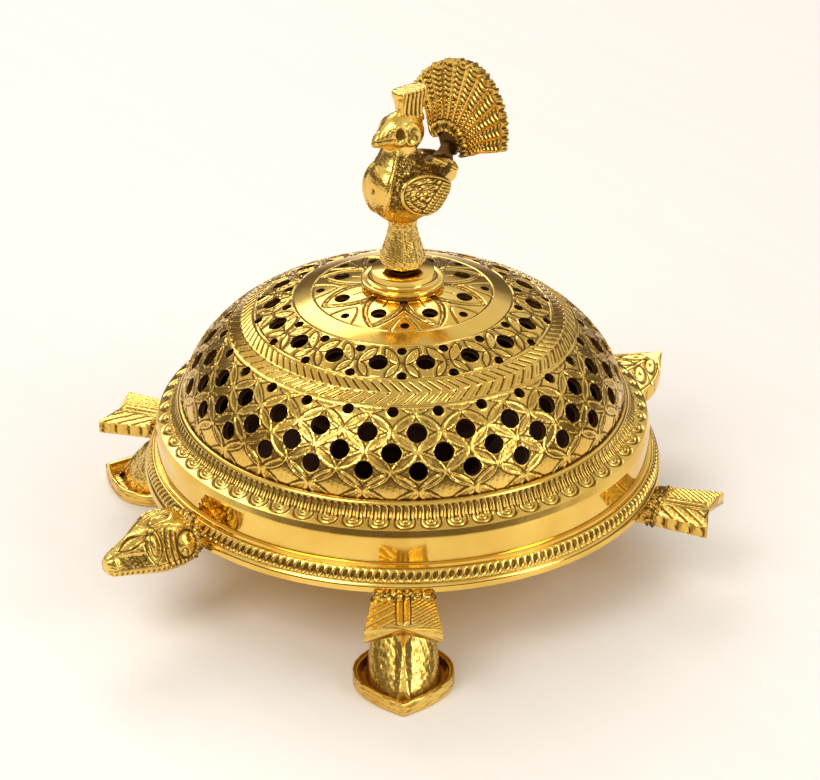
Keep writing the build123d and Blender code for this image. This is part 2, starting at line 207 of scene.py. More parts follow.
class Outline(Profile):
    """A closed turned outline with the sampling that each stretch needs."""

    def __init__(self, stretches):
        points, runs, start = [], [], 0.0
        self.marks = []
        for stretch, spacing in stretches:
            stretch = np.array(stretch, float)
            self.marks.append(start)
            length = step_lengths(stretch)[-1]
            pieces = max(1, int(ceil(length / spacing)))
            runs.extend((start + np.linspace(0, length, pieces + 1)[:-1]).tolist())
            points.extend(stretch[:-1].tolist())
            start += length
        points.append(list(stretches[0][0][0]))
        super().__init__(points)
        self.runs = np.array(runs)


def dome_profile():
    """The dome's outer face from its foot up to the finial's seat."""
    shoulder, haunch, foot = (44.0, 72.0), (58.8, 59.5), (DOME_RADIUS, FLANGE_TOP + 0.7)
    crown = arc_points((11.5, DOME_SEAT), (25.7, 79.0), shoulder, 90)
    shoulder_run, leaving = tangent_arc(shoulder, crown[-1] - crown[-2], haunch, 50)
    haunch_run, _ = tangent_arc(haunch, leaving, foot, 40)
    down = np.vstack([[(0.0, DOME_SEAT)], crown, shoulder_run, haunch_run, [(DOME_RADIUS, DOME_FOOT)]])
    return Profile(down[::-1])


# ------------------------------------------------------------------ nodes
def connect(tree, node, values):
    """Link a node's inputs, named or numbered, to sockets or set them to plain values; gives the node."""
    for key, value in values.items():
        socket = node.inputs[key]
        if isinstance(value, bpy.types.NodeSocket):
            tree.links.new(value, socket)
        else:
            socket.default_value = (*value, 1.0) if socket.type == "RGBA" else value
    return node


def add_node(tree, kind, values=(), **settings):
    """A new node with its settings and its inputs; gives its outputs."""
    node = tree.nodes.new(kind)
    for name, value in settings.items():
        setattr(node, name, value)
    return connect(tree, node, dict(values)).outputs


def math_node(tree, operation, *values, clamp=False):
    """A Math node whose inputs are sockets or plain numbers; gives its output."""
    return add_node(tree, "ShaderNodeMath", enumerate(values), operation=operation, use_clamp=clamp)[0]


def noise_node(tree, vector, scale, detail, roughness=0.5):
    """A noise texture read at a vector; gives its value."""
    values = {"Vector": vector, "Scale": scale, "Detail": detail, "Roughness": roughness}
    return add_node(tree, "ShaderNodeTexNoise", values)["Fac"]


def mix_colour(tree, share, first, second):
    """Mix two colours by a share; gives the result."""
    return add_node(tree, "ShaderNodeMix", {0: share, 6: first, 7: second}, data_type="RGBA")[2]


def object_place(tree):
    """The place on the object, in its own axes."""
    return add_node(tree, "ShaderNodeTexCoord")["Object"]


def new_tree(name, kind, inputs, outputs):
    """A new node group, the outputs of its input node and its output node."""
    tree = bpy.data.node_groups.new(name, kind)
    for way, sockets in (("INPUT", inputs), ("OUTPUT", outputs)):
        for title, socket_kind in sockets.items():
            tree.interface.new_socket(title, in_out=way, socket_type="NodeSocket" + socket_kind)
    return tree, tree.nodes.new("NodeGroupInput").outputs, tree.nodes.new("NodeGroupOutput")


def shared_tree(name, build):
    """The named node group, built when it is first asked for."""
    return bpy.data.node_groups.get(name) or build(name)


# ------------------------------------------------------------------ materials
PLAIN_RECESS = 0.85  # how toned a piece is that carries no recess layer
BRASS_SPECULAR = 0.2
BROAD_NOISE, FINE_NOISE, GRIT_NOISE = (55.0, 3.0), (650.0, 4.0, 0.6), (2600.0, 2.0, 0.6)
PATINA_START, PATINA_FULL = 0.22, 0.85
# Stretch along the outline and round the axis, then the noise's scale, detail and roughness
LATHE_NOISE = {"Height": (900.0, 0.9, 1.0, 4.0, 0.7), "Tone": (160.0, 14.0, 0.5, 3.0, 0.6)}
LATHE_RELIEF, LATHE_STREAKS = 0.25, 0.16


def patina_tree(name):
    """Colour, roughness, metal share and relief of brass; recess 1 is patina, with painted shade at some marks, and 2
    is the painted shade of the inside.
    """
    tree, given, result = new_tree(
        name, "ShaderNodeTree",
        {"Recess": "Float", "Bright": "Color", "Warm": "Color", "Patina": "Color", "Soot": "Color",
         "Dirt": "Float", "Gloss": "Float"},
        {"Color": "Color", "Roughness": "Float", "Metallic": "Float", "Height": "Float"},
    )
    place = object_place(tree)
    broad, fine, grit = (noise_node(tree, place, *noise) for noise in (BROAD_NOISE, FINE_NOISE, GRIT_NOISE))
    tone = math_node(tree, "MULTIPLY_ADD", broad, 2.2, -0.6, clamp=True)
    uneven = math_node(tree, "MULTIPLY_ADD", fine, 0.7, -0.35)
    # Patina share: the recess, which carries patina and painted shade, plus fine unevenness, times the finish's amount
    dirt = math_node(tree, "MULTIPLY", math_node(tree, "ADD", given["Recess"], uneven), given["Dirt"])
    reach = {"Value": dirt, "From Min": PATINA_START, "From Max": PATINA_FULL}
    share = add_node(tree, "ShaderNodeMapRange", reach, interpolation_type="SMOOTHSTEP")["Result"]
    # Painted shade of the inside: recess 2 gives the dark inside colour, rougher and without metal
    inside_shade_share = math_node(tree, "MULTIPLY_ADD", given["Recess"], 2.2, -2.6, clamp=True)
    colour = mix_colour(tree, tone, given["Bright"], given["Warm"])
    colour = mix_colour(tree, share, colour, given["Patina"])
    colour = mix_colour(tree, inside_shade_share, colour, given["Soot"])
    rough = math_node(tree, "MULTIPLY_ADD", share, 0.22, given["Gloss"])
    rough = math_node(tree, "MULTIPLY_ADD", fine, 0.10, rough)
    rough = math_node(tree, "MULTIPLY_ADD", inside_shade_share, 0.35, rough)
    bare = math_node(tree, "MULTIPLY_ADD", share, -0.1, 1.0)
    metallic = math_node(tree, "SUBTRACT", bare, inside_shade_share, clamp=True)
    height = math_node(tree, "MULTIPLY_ADD", grit, 0.35, fine)
    connect(tree, result, {"Color": colour, "Roughness": rough, "Metallic": metallic, "Height": height})
    return tree


def lathe_tree(name):
    """Fine rings left by the lathe and the buff, as a height and a tone."""
    tree, _, result = new_tree(name, "ShaderNodeTree", {}, {"Height": "Float", "Tone": "Float"})
    x, y, z = add_node(tree, "ShaderNodeSeparateXYZ", {"Vector": object_place(tree)})
    squares = [math_node(tree, "MULTIPLY", axis, axis) for axis in (x, y)]
    far = math_node(tree, "SQRT", math_node(tree, "ADD", *squares))
    turn = math_node(tree, "ARCTAN2", y, x)
    for title, (along, around, *noise) in LATHE_NOISE.items():
        axes = {"X": (far, along), "Y": (z, along), "Z": (turn, around)}
        axes = {axis: math_node(tree, "MULTIPLY", *pair) for axis, pair in axes.items()}
        ring = add_node(tree, "ShaderNodeCombineXYZ", axes)["Vector"]
        connect(tree, result, {title: noise_node(tree, ring, *noise)})
    return tree


def new_material(name):
    """A node material with its tree and its Principled shader."""
    made = bpy.data.materials.new(name)
    made.use_nodes = True
    return made, made.node_tree, made.node_tree.nodes["Principled BSDF"]


def bump_node(tree, height, strength, distance, **normal):
    """A Bump node; gives its normal."""
    values = {"Height": height, "Strength": strength, "Distance": distance * MM, **normal}
    return add_node(tree, "ShaderNodeBump", values)["Normal"]


def brass_material(name, dirt, gloss, relief, layered=True, turned=False):
    """Brass with patina and painted shade where its recess layer asks for it, hand-worked or turned."""
    made, tree, shader = new_material(name)
    values = {tone: tuple(getattr(finish(), tone.lower())) for tone in ("Bright", "Warm", "Patina", "Soot")}
    values.update(Dirt=dirt, Gloss=gloss, Recess=PLAIN_RECESS)
    if layered:
        values["Recess"] = add_node(tree, "ShaderNodeAttribute", attribute_name="recess")["Fac"]
    worn = add_node(tree, "ShaderNodeGroup", values, node_tree=shared_tree("brass_patina", patina_tree))
    rough, normal = worn["Roughness"], bump_node(tree, worn["Height"], relief, 0.05)
    if turned:
        lathe = add_node(tree, "ShaderNodeGroup", node_tree=shared_tree("lathe_lines", lathe_tree))
        normal = bump_node(tree, lathe["Height"], LATHE_RELIEF, 0.02, Normal=normal)
        rough = math_node(tree, "MULTIPLY_ADD", lathe["Tone"], LATHE_STREAKS, rough)
        rough = math_node(tree, "SUBTRACT", rough, LATHE_STREAKS / 2)
    connect(tree, shader, {
        "Base Color": worn["Color"], "Metallic": worn["Metallic"], "Roughness": rough, "Normal": normal,
        "Specular IOR Level": BRASS_SPECULAR,
    })
    return made


FINISHES = {
    "carved_brass": dict(dirt=1.0, gloss=0.10, relief=0.16),
    "polished_brass": dict(dirt=0.8, gloss=0.03, relief=0.05, turned=True),
    "cast_brass": dict(dirt=1.0, gloss=0.15, relief=0.35),
    "cup_brass": dict(dirt=0.9, gloss=0.30, relief=0.5, turned=True),
    "fastener_brass": dict(dirt=1.0, gloss=0.36, relief=0.4, layered=False),
}


def material(name):
    """The named finish, made when it is first asked for; slots have plain materials of the same names."""
    # Every finish paints patina, and painted shade where the recess layer carries it
    title = "worn_" + name
    return bpy.data.materials.get(title) or brass_material(title, **FINISHES[name])


# ------------------------------------------------------------------ stage
WORLD_STRENGTH = 0.84
WORLD_RAMP = (
    (0.0, (0.50, 0.44, 0.38)), (0.10, (0.16, 0.12, 0.09)), (0.30, (0.20, 0.165, 0.13)),
    (0.46, (0.98, 0.92, 0.84)), (0.75, (1.0, 0.95, 0.88)), (1.0, (0.62, 0.58, 0.52)),
)
# Soft boxes: size, watts, place, height aimed at on the axis, colour
LIGHTS = {
    "key": ((0.7, 0.7), 6.8, (0.15, -0.95, 1.05), 0.05, (1.0, 0.98, 0.95)),
    "window": ((0.9, 0.6), 5.2, (-0.95, 0.35, 0.95), 0.05, (1.0, 0.99, 0.98)),
    "fill": ((0.4, 0.8), 3.4, (1.0, 0.35, 0.60), 0.06, (1.0, 0.98, 0.95)),
}
CAMERA_PLACE, CAMERA_LENS = (0.5710, -0.4435, 0.4260), 123.98
CAMERA_HEADING, CAMERA_PITCH = radians(142.0), radians(-27.64)
TABLE_REACH = 30.0
BOARD_TURN, BOARD_STRETCH, BOARD_GRAIN = radians(-38), (1.2, 14.0, 1.0), (7.0, 5.0, 0.6)
BOARD_DARKER = (0.97, 0.95, 0.93)


def table_material():
    """Pale washed boards with a faint grain."""
    made, tree, shader = new_material("pale_boards")
    boards = {"Vector": object_place(tree), "Rotation": (0, 0, BOARD_TURN), "Scale": BOARD_STRETCH}
    grain = noise_node(tree, add_node(tree, "ShaderNodeMapping", boards)["Vector"], *BOARD_GRAIN)
    shade = tuple(finish().floor)
    darker = tuple(channel * share for channel, share in zip(shade, BOARD_DARKER))
    connect(tree, shader, {"Base Color": mix_colour(tree, grain, shade, darker), "Roughness": 0.55})
    return made


def studio_world():
    """Pale surroundings that darken towards the horizon, which gives the metal its contrast."""
    world = bpy.data.worlds.new("studio")
    bpy.context.scene.world = world
    world.use_nodes = True
    tree = world.node_tree
    place = add_node(tree, "ShaderNodeTexCoord")["Generated"]
    height = add_node(tree, "ShaderNodeSeparateXYZ", {"Vector": place})["Z"]
    shade = add_node(tree, "ShaderNodeValToRGB", {"Fac": height})["Color"]
    elements = shade.node.color_ramp.elements
    while len(elements) < len(WORLD_RAMP):
        elements.new(0.5)
    for element, (at, colour) in zip(elements, WORLD_RAMP):
        element.position = at
        element.color = (*colour, 1.0)
    connect(tree, tree.nodes["Background"], {"Color": shade, "Strength": WORLD_STRENGTH})


def staged(name, data):
    """A new object of the scene."""
    made = bpy.data.objects.new(name, data)
    bpy.context.scene.collection.objects.link(made)
    return made


def soft_light(name, size, power, place, aim, colour):
    """A soft box aimed at a height on the axis."""
    lamp = bpy.data.lights.new(name, "AREA")
    lamp.shape = "RECTANGLE"
    lamp.size, lamp.size_y = size
    lamp.energy, lamp.color = power, colour
    box = staged(name, lamp)
    box.location = place
    box.rotation_euler = (Vector((0, 0, aim)) - Vector(place)).to_track_quat("-Z", "Y").to_euler()


class BURNER_OT_stage(bpy.types.Operator):
    """Table, soft studio light and the camera"""

    bl_idname = "burner.stage"
    bl_label = "Table, light and camera"

    def execute(self, context):
        context.scene.view_settings.view_transform = "Standard"
        studio_world()
        corners = [(x * TABLE_REACH, y * TABLE_REACH, 0) for x, y in ((-1, -1), (1, -1), (1, 1), (-1, 1))]
        mesh = bpy.data.meshes.new("table")
        mesh.from_pydata(corners, [], [(0, 1, 2, 3)])
        mesh.materials.append(table_material())
        staged("table", mesh)
        for name, light in LIGHTS.items():
            soft_light(name, *light)

        view = bpy.data.cameras.new("camera")
        view.sensor_width, view.lens, view.clip_start = 36.0, CAMERA_LENS, 0.02
        camera = staged("camera", view)
        flat = cos(CAMERA_PITCH)
        look = Vector((cos(CAMERA_HEADING) * flat, sin(CAMERA_HEADING) * flat, sin(CAMERA_PITCH)))
        camera.location = CAMERA_PLACE
        camera.rotation_euler = look.to_track_quat("-Z", "Y").to_euler()
        context.scene.camera = camera
        return {"FINISHED"}


# ------------------------------------------------------------------ meshes
RING_SHARP = 55.0
WELD = 0.01 * MM
WANDER_WAVE = 120.0


def shade_smooth(mesh, sharp):
    """Smooth shading, with edges kept sharp past an angle in degrees."""
    mesh.polygons.foreach_set("use_smooth", [True] * len(mesh.polygons))
    if sharp:
        mesh.set_sharp_from_angle(angle=radians(sharp))


def mesh_object(name, points, groups, recess=None, sharp=None):
    """A shaded mesh object from points in millimetres and groups of faces; recess is the patina and painted shade of
    each point.
    """
    mesh = bpy.data.meshes.new(name)
    faces = [face for group in groups for face in np.asarray(group).tolist()]
    mesh.from_pydata((np.asarray(points) * MM).tolist(), [], faces)
    if recess is not None:
        layer = mesh.attributes.new("recess", "FLOAT", "POINT")
        layer.data.foreach_set("value", np.ascontiguousarray(recess, dtype=np.float32))
    mesh.update()
    shade_smooth(mesh, sharp)
    return staged(name, mesh)


def finish_piece(piece, body, node, material=None):
    """Give a piece its material in a slot of its own when one is given, attach it to its body and hide the CAD node
    that it stands for.
    """
    if material is not None:
        piece.data.materials.clear()
        piece.data.materials.append(material)
    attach(piece, body)
    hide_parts(node)


def grid_faces(rows, columns, wrap_rows=False, wrap_columns=False):
    """Quads over a grid of points stored row by row."""
    r = np.arange(rows if wrap_rows else rows - 1)
    c = np.arange(columns if wrap_columns else columns - 1)
    r, c = (axis.ravel() for axis in np.meshgrid(r, c, indexing="ij"))
    r2, c2 = (r + 1) % rows, (c + 1) % columns
    return np.column_stack([r * columns + c, r * columns + c2, r2 * columns + c2, r2 * columns + c])


def evaluated_mesh(piece):
    """A plain mesh of an object with its modifiers applied."""
    graph = bpy.context.evaluated_depsgraph_get()
    return bpy.data.meshes.new_from_object(piece.evaluated_get(graph))


# ------------------------------------------------------------------ polar repeats
def polar_tree(name):
    """Geometry Nodes tree that repeats a sector round Z, welds it and lets its lines wander."""
    tree, given, result = new_tree(
        name, "GeometryNodeTree",
        {"Geometry": "Geometry", "Count": "Int", "First Angle": "Float", "Wander": "Float", "Wave": "Float",
         "Weld": "Float", "Material": "Material"},
        {"Geometry": "Geometry"},
    )

    def add(kind, values=(), output=0, **settings):
        return add_node(tree, kind, values, **settings)[output]

    points = add("GeometryNodePoints", {"Count": given["Count"]})
    step = math_node(tree, "DIVIDE", tau, given["Count"])
    index = add("GeometryNodeInputIndex")
    turn = add("ShaderNodeCombineXYZ", {"Z": math_node(tree, "MULTIPLY_ADD", index, step, given["First Angle"])})
    copies = {"Points": points, "Instance": given["Geometry"], "Rotation": turn}
    ring = add("GeometryNodeRealizeInstances", {"Geometry": add("GeometryNodeInstanceOnPoints", copies)})
    ring = add("GeometryNodeMergeByDistance", {"Geometry": ring, "Distance": given["Weld"]})
    wave = {"Vector": add("GeometryNodeInputPosition"), "Scale": given["Wave"], "Detail": 1.0}
    noise = add("ShaderNodeTexNoise", wave, "Color", noise_dimensions="3D")
    centred = add("ShaderNodeVectorMath", {0: noise, 1: (0.5, 0.5, 0.5)}, operation="SUBTRACT")
    offset = add("ShaderNodeVectorMath", {0: centred, "Scale": given["Wander"]}, operation="SCALE")
    ring = add("GeometryNodeSetPosition", {"Geometry": ring, "Offset": offset})
    ring = add("GeometryNodeSetMaterial", {"Geometry": ring, "Material": given["Material"]})
    connect(tree, result, {"Geometry": ring})
    return tree


def repeat_round(sector, count, first_angle, material, wander=0.0):
    """Turn a sector into a full ring with the polar tree, as a plain mesh."""
    sector.data.materials.append(material)
    modifier = sector.modifiers.new("polar_repeat", "NODES")
    modifier.node_group = shared_tree("polar_repeat", polar_tree)
    sockets = modifier.node_group.interface.items_tree
    inputs = {item.name: item.identifier for item in sockets if item.in_out == "INPUT"}
    values = {"Count": count, "First Angle": first_angle, "Wander": wander, "Wave": WANDER_WAVE,
              "Weld": WELD, "Material": material}
    for name, value in values.items():
        modifier[inputs[name]] = value
    ring, old = evaluated_mesh(sector), sector.data
    sector.modifiers.clear()
    sector.data = ring
    bpy.data.meshes.remove(old)
    ring.name = sector.name
    shade_smooth(ring, RING_SHARP)
    return sector


# ------------------------------------------------------------------ sectors
INSIDE_SHADE = 2.0  # painted shade of the inside
SMALLEST_TRIANGLE = 1e-7
COARSE_STEPS, COARSE_MARGIN, FINE_MARGIN = (7, 9), 0.6, 0.6
HOLE_STEPS, LEAST_HOLE_STEPS = 12, 14


def turned_sector(name, outline, count, steps, carve):
    """One sector of a closed turned outline; carve gives the cut at (turn 0..1, run) and its shade."""
    turn, run = np.meshgrid(np.linspace(0, 1, steps + 1), outline.runs)
    lift, shade = carve(turn, run)
    faces = grid_faces(len(outline.runs), steps + 1, wrap_rows=True)
    return mesh_object(name, outline.solid(turn, run, lift, count), [faces], shade.ravel())


def triangulated(corners, loops, inside):
    """Constrained triangles of a rectangle with holes: points, faces and the place of each given point."""
    given, edges = [], []
    for loop in [corners, *loops]:
        first = len(given)
        given.extend(loop)
        edges.extend((first + i, first + (i + 1) % len(loop)) for i in range(len(loop)))
    given.extend(inside)
    vectors = [Vector((float(x), float(y))) for x, y in given]
    points, _, faces, origins, _, _ = delaunay_2d_cdt(vectors, edges, [], 0, 1e-5)
    place = {source: index for index, sources in enumerate(origins) for source in sources}
    return np.array([tuple(p) for p in points]), np.array([f for f in faces if len(f) == 3]), place


def pierced_sector(name, profile, span, count, holes, carve, spacing, wall):
    """One sector of a dome zone with holes at (turn, run, radius), carved outside and plain inside."""
    run0, run1 = span
    width = profile.sector_width((run0 + run1) / 2, count)
    across = max(2, round(width / spacing))
    along = max(2, round((run1 - run0) / spacing))
    xs, ys = np.linspace(0, width, across + 1), np.linspace(run0, run1, along + 1)
    edge = [(x, run0) for x in xs[:-1]] + [(width, y) for y in ys[:-1]]
    edge += [(x, run1) for x in xs[:0:-1]] + [(0.0, y) for y in ys[:0:-1]]

    def clear_of_holes(points, share, margin):
        keep = np.ones(len(points), bool)
        for turn, run, radius in holes:
            beside = (points[:, 0] / width - turn) * profile.sector_width(run, count)
            keep &= np.hypot(beside, points[:, 1] - run) > radius * share + margin
        return keep

    loops = []
    for turn, run, radius in holes:
        angle = np.linspace(0, tau, max(LEAST_HOLE_STEPS, int(radius * HOLE_STEPS)), endpoint=False)
        turns = turn + radius * np.cos(angle) / profile.sector_width(run, count)
        loops.append(np.column_stack([turns * width, run + radius * np.sin(angle)]))
    rows = []
    for j, y in enumerate(ys[1:-1]):
        row = (np.arange(1, across) + (0.25 if j % 2 else -0.25)) * width / across
        rows.append(np.column_stack([row, np.full(len(row), y)]))
    xs, ys = np.linspace(0, width, COARSE_STEPS[0]), np.linspace(run0, run1, COARSE_STEPS[1])
    coarse = np.array([(x, y) for y in ys[1:-1] for x in xs[1:-1]])

    skins = []
    for inside, margin in ((np.vstack(rows), FINE_MARGIN * spacing), (coarse, COARSE_MARGIN)):
        inside = inside[clear_of_holes(inside, 1.0, margin)]
        points, faces, place = triangulated(edge, loops, inside.tolist())
        corners = points[faces]
        a, b = corners[:, 1] - corners[:, 0], corners[:, 2] - corners[:, 0]
        twice = a[:, 0] * b[:, 1] - a[:, 1] * b[:, 0]
        keep = (np.abs(twice) > SMALLEST_TRIANGLE) & clear_of_holes(corners.mean(axis=1), 0.985, 0.0)
        faces[twice < 0] = faces[twice < 0][:, ::-1]
        skins.append((points, faces[keep], place))
    (fine, fine_faces, fine_place), (plain, plain_faces, plain_place) = skins

    lift, shade = carve(fine[:, 0] / width, fine[:, 1])
    points = [
        profile.solid(flat[:, 0] / width, flat[:, 1], rise, count) for flat, rise in ((fine, lift), (plain, -wall))
    ]
    offset, walls, first = len(fine), [], 0
    for loop in [edge, *loops]:
        places = list(range(first, first + len(loop)))
        first += len(loop)
        for here, there in zip(places, places[1:] + places[:1]):
            a, b = fine_place[here], fine_place[there]
            if loop is edge and abs(fine[a, 0] - fine[b, 0]) < 1e-9:
                continue
            quad = (a, plain_place[here] + offset, plain_place[there] + offset, b)
            walls.append(quad if loop is edge else quad[::-1])
    groups = [fine_faces, plain_faces[:, ::-1] + offset, walls]
    # The inner skin gets recess 2, the painted shade of the inside
    return mesh_object(name, np.vstack(points), groups, np.r_[shade, np.full(len(plain), INSIDE_SHADE)])


# ------------------------------------------------------------------ carving
def bump(value, width):
    """Rounded ridge of height 1 at zero, gone past the width."""
    return np.clip(1 - (value / width) ** 2, 0, 1) ** 2


def ramp(value, low, high):
    """Smooth step from 0 at low to 1 at high."""
    share = np.clip((value - low) / (high - low), 0, 1)
    return share * share * (3 - 2 * share)


def highest(*values):
    """The highest of several fields at each point."""
    return reduce(np.maximum, values)


def circle_field(profile, count, circles, turn, run, touch=False):
    """How deep each point lies in the two nearest circles, which may be stretched until they touch."""
    depth = []
    for centre, level, radius in circles:
        local = 2 * radius if touch else profile.sector_width(level, count)
        for shift in (-1, 0, 1):
            depth.append(radius - np.hypot((turn - centre - shift) * local, run - level))
    depth = np.sort(np.array(depth), axis=0)
    return depth[-1], depth[-2]


def hole_gap(profile, count, holes, turn, run):
    """Distance to the edge of the nearest hole."""
    gap = np.full(np.shape(turn), 99.0)
    for centre, level, radius in holes:
        local = profile.sector_width(level, count)
        gap = np.minimum(gap, np.hypot((turn - centre) * local, run - level) - radius)
    return gap


def holes_at(profile, rows):
    """Holes as turn within a sector, run and radius, from rows of place radius, radius and turn."""
    return [(turn, profile.run_at_radius(radius), size) for radius, size, turn in rows]


# ------------------------------------------------------------------ dome carving
LATTICE_HOLES = ((61.6, 2.6, 0.25), (59.1, 2.8, 0.75), (55.5, 2.8, 0.25), (51.1, 1.6, 0.75))
CROWN_HOLES = ((37.2, 2.7, 0.25), (41.4, 1.4, 0.75), (33.2, 1.4, 0.75))
MEDALLION_HOLES = ((18.6, 2.3, 0.25), (23.3, 1.3, 0.75))
ZONE_RADII = (49.9, 42.5, 30.8, 2.2)  # where the lattice, herringbone, crown and medallion end


def lattice_carve(profile, holes, count):
    """Leaves where the circles round neighbouring holes overlap."""
    first, second, third, fourth = (level for _, level, _ in holes)
    circles = [
        (0.25, first - 10.6, 5.4), (0.75, first - 6.1, 5.45), (0.25, first, 5.2), (0.75, second, 5.6),
        (0.25, third, 5.36), (0.75, fourth, 5.97), (0.25, fourth + 5.2, 5.8),
    ]
    top = profile.run_at_radius(ZONE_RADII[0])

    def carve(turn, run):
        inner, outer = circle_field(profile, count, circles, turn, run, touch=True)
        off = (inner - outer) / 2
        level = 0.74 * (inner + outer) / 2 - off
        groove = bump(level + 0.28, 0.40)
        edge = bump(level - 0.14, 0.36)
        leaf = ramp(level, 0.25, 0.60)
        vein = bump(off, 0.14) * leaf
        grit = np.sin(run * 8.6 + 2.0 * np.sin(turn * 41)) * np.sin(turn * 118 + 1.7 * run)
        lift = -0.16 + 0.06 * grit - 0.22 * groove + 0.24 * edge - 0.14 * leaf + 0.10 * vein
        shade = (level < 0) * (0.26 + 0.22 * grit) + 0.80 * groove + 0.62 * leaf - 0.3 * vein - 0.5 * edge
        lip = bump(hole_gap(profile, count, holes, turn, run), 0.30)
        lift = np.maximum(lift, -0.16 + 0.14 * lip)
        shade = shade * (1 - 0.9 * lip)
        for side, low, high in ((run, 0.45, 0.75), (top - run, 0.5, 0.8)):
            border = 1 - ramp(side, low, high)
            line = bump(side - high, 0.30)
            lift = lift * (1 - border) - 0.2 * line
            shade = np.maximum(shade * (1 - border), 0.8 * line)
        return lift, np.clip(shade, 0, 1)

    return carve


def herringbone_carve(low, high):
    """Broad strokes below and closer ones above a spine, slanting away from it."""
    length = high - low
    spine = length * 0.52

    def carve(turn, run):
        run = run - low
        below = run < spine
        along = np.abs(run - spine) / (np.where(below, spine, length - spine) - 0.5)
        phase = np.where(below, turn * 3 + along * 1.15, turn * 4 + 0.25 + along * 1.35) % 1.0
        width = np.where(below, 3.7, 2.7)
        line = bump((np.abs(phase - 0.5) - 0.5) * width, 0.50)
        heart = bump((phase - 0.55) * width, 0.30) * below * ramp(along, 0.2, 0.35) * (1 - ramp(along, 0.75, 0.9))
        body = ramp(along, 0.02, 0.10) * (1 - ramp(along, 0.90, 1.0))
        cut = np.clip(line + 0.55 * heart, 0, 1) * body
        edge = bump((along - 1.0) * 3.5, 0.34)
        lift = -0.34 * cut - 0.26 * phase * body - 0.14 * edge
        shade = np.maximum(0.85 * cut + 0.10 * phase * body, 0.6 * edge)
        return lift, np.clip(shade, 0, 1)

    return carve


def crown_carve(profile, holes, count, span):
    """Flat polished leaves with one deep outline round the upper holes."""
    circles = [(turn, level, radius) for (turn, level, _), radius in zip(holes, (5.6, 4.6, 4.6))]

    def carve(turn, run):
        first, second = circle_field(profile, count, circles, turn, run)
        gap = hole_gap(profile, count, holes, turn, run)
        line = bump(second + 0.16, 0.52)
        vein = 0.7 * bump(first - second, 0.20) * ramp(second, 0.8, 1.1)
        notch = bump(second + 0.75, 0.5) * ramp(gap, 0.2, 0.5) * 0.6
        border = np.minimum(run - span[0], span[1] - run)
        cut = highest(line, vein, notch) * ramp(gap, 0.1, 0.35) * ramp(border, 0.55, 0.8)
        cut = np.maximum(cut, 0.8 * bump(border - 0.62, 0.26))
        return -0.40 * cut, cut

    return carve


def medallion_carve(profile, holes, count):
    """Pointed petals with broad doubled outlines inside a plain polished ring."""
    ring_run = profile.run_at_radius(25.6)
    tip, base, half = 24.9, 4.0, 5.7

    def carve(turn, run):
        radius, _ = profile.at(run)
        gap = hole_gap(profile, count, holes, turn, run)
        cut = np.zeros(np.shape(turn))
        for centre in (0.25, 1.25, -0.75):
            across = np.abs(turn - centre) * tau * radius / count
            share = np.clip((radius - base) / (tip - base), 0, 1)
            depth = half * np.sin(pi * share ** 1.05) ** 0.75 - across
            line = np.maximum(bump(depth - 0.1, 0.62), 0.9 * bump(depth - 1.4, 0.46))
            vein = 0.8 * bump(across, 0.26) * (radius < 15.2)
            inside = (radius > base) & (radius < tip)
            cut = np.maximum(cut, np.where(inside, np.maximum(line, vein), 0))
        for centre in (-0.25, 0.75):
            across = np.abs(turn - centre) * tau * radius / count
            rise = np.clip((radius - 18.8) / 6.4, 0, 1)
            arch = bump(across - 4.1 * rise ** 0.6, 0.42) * (radius > 18.4)
            rays = bump(across - 0.30 * (radius - 11.5), 0.30) * (radius > 11.8) * (radius < 17.5)
            rays = np.maximum(rays, bump(across, 0.26) * (radius < 17.0))
            cut = highest(cut, 0.9 * arch, 0.8 * rays)
        cut = cut * ramp(gap, 0.1, 0.35) * (1 - ramp(ring_run - run, -0.2, 0.1))
        cut = np.maximum(cut, 0.8 * bump(run - ring_run, 0.26))
        return -0.40 * cut, cut

    return carve


class BURNER_OT_dome(bpy.types.Operator):
    """Cast dome: pierced lattice, herringbone band, crown ring and petal medallion"""

    bl_idname = "burner.dome"
    bl_label = "Pierced dome"

    def execute(self, context):
        settings = sizes()
        profile = dome_profile()
        edge = [0.0] + [profile.run_at_radius(radius) for radius in ZONE_RADII]
        lattice, crown, petals = (
            (settings.lattice_count, settings.lattice_phase), (settings.crown_count, settings.crown_phase),
            (settings.petal_count, settings.petal_phase),
        )
        holes = [holes_at(profile, rows) for rows in (LATTICE_HOLES, (), CROWN_HOLES, MEDALLION_HOLES)]
        carves = (
            lattice_carve(profile, holes[0], lattice[0]), herringbone_carve(edge[1], edge[2]),
            crown_carve(profile, holes[2], crown[0], edge[2:4]), medallion_carve(profile, holes[3], petals[0]),
        )
        # Name, node, count and phase, spacing of points, share of the hand's wandering
        zones = (
            ("dome_lattice", "lid_dome", lattice, 0.35, 1.0), ("dome_herringbone", "lid_dome", lattice, 0.24, 0.8),
            ("dome_crown", "lid_crown", crown, 0.28, 1.0), ("dome_medallion", "lid_crown", petals, 0.26, 0.6),
        )
        for number, (name, node, (count, phase), spacing, wander) in enumerate(zones):
            sector = pierced_sector(
                name, profile, edge[number : number + 2], count, holes[number], carves[number], spacing,
                settings.wall / MM,
            )
            start = phase + 0.25 * tau / count
            ring = repeat_round(sector, count, start, material("carved_brass"), settings.hand_cut * wander)
            finish_piece(ring, "lid", node)
        return {"FINISHED"}


# ------------------------------------------------------------------ flange, rim and pan
FLUTES_PER_HOLE, PAN_SECTORS = 8, 24


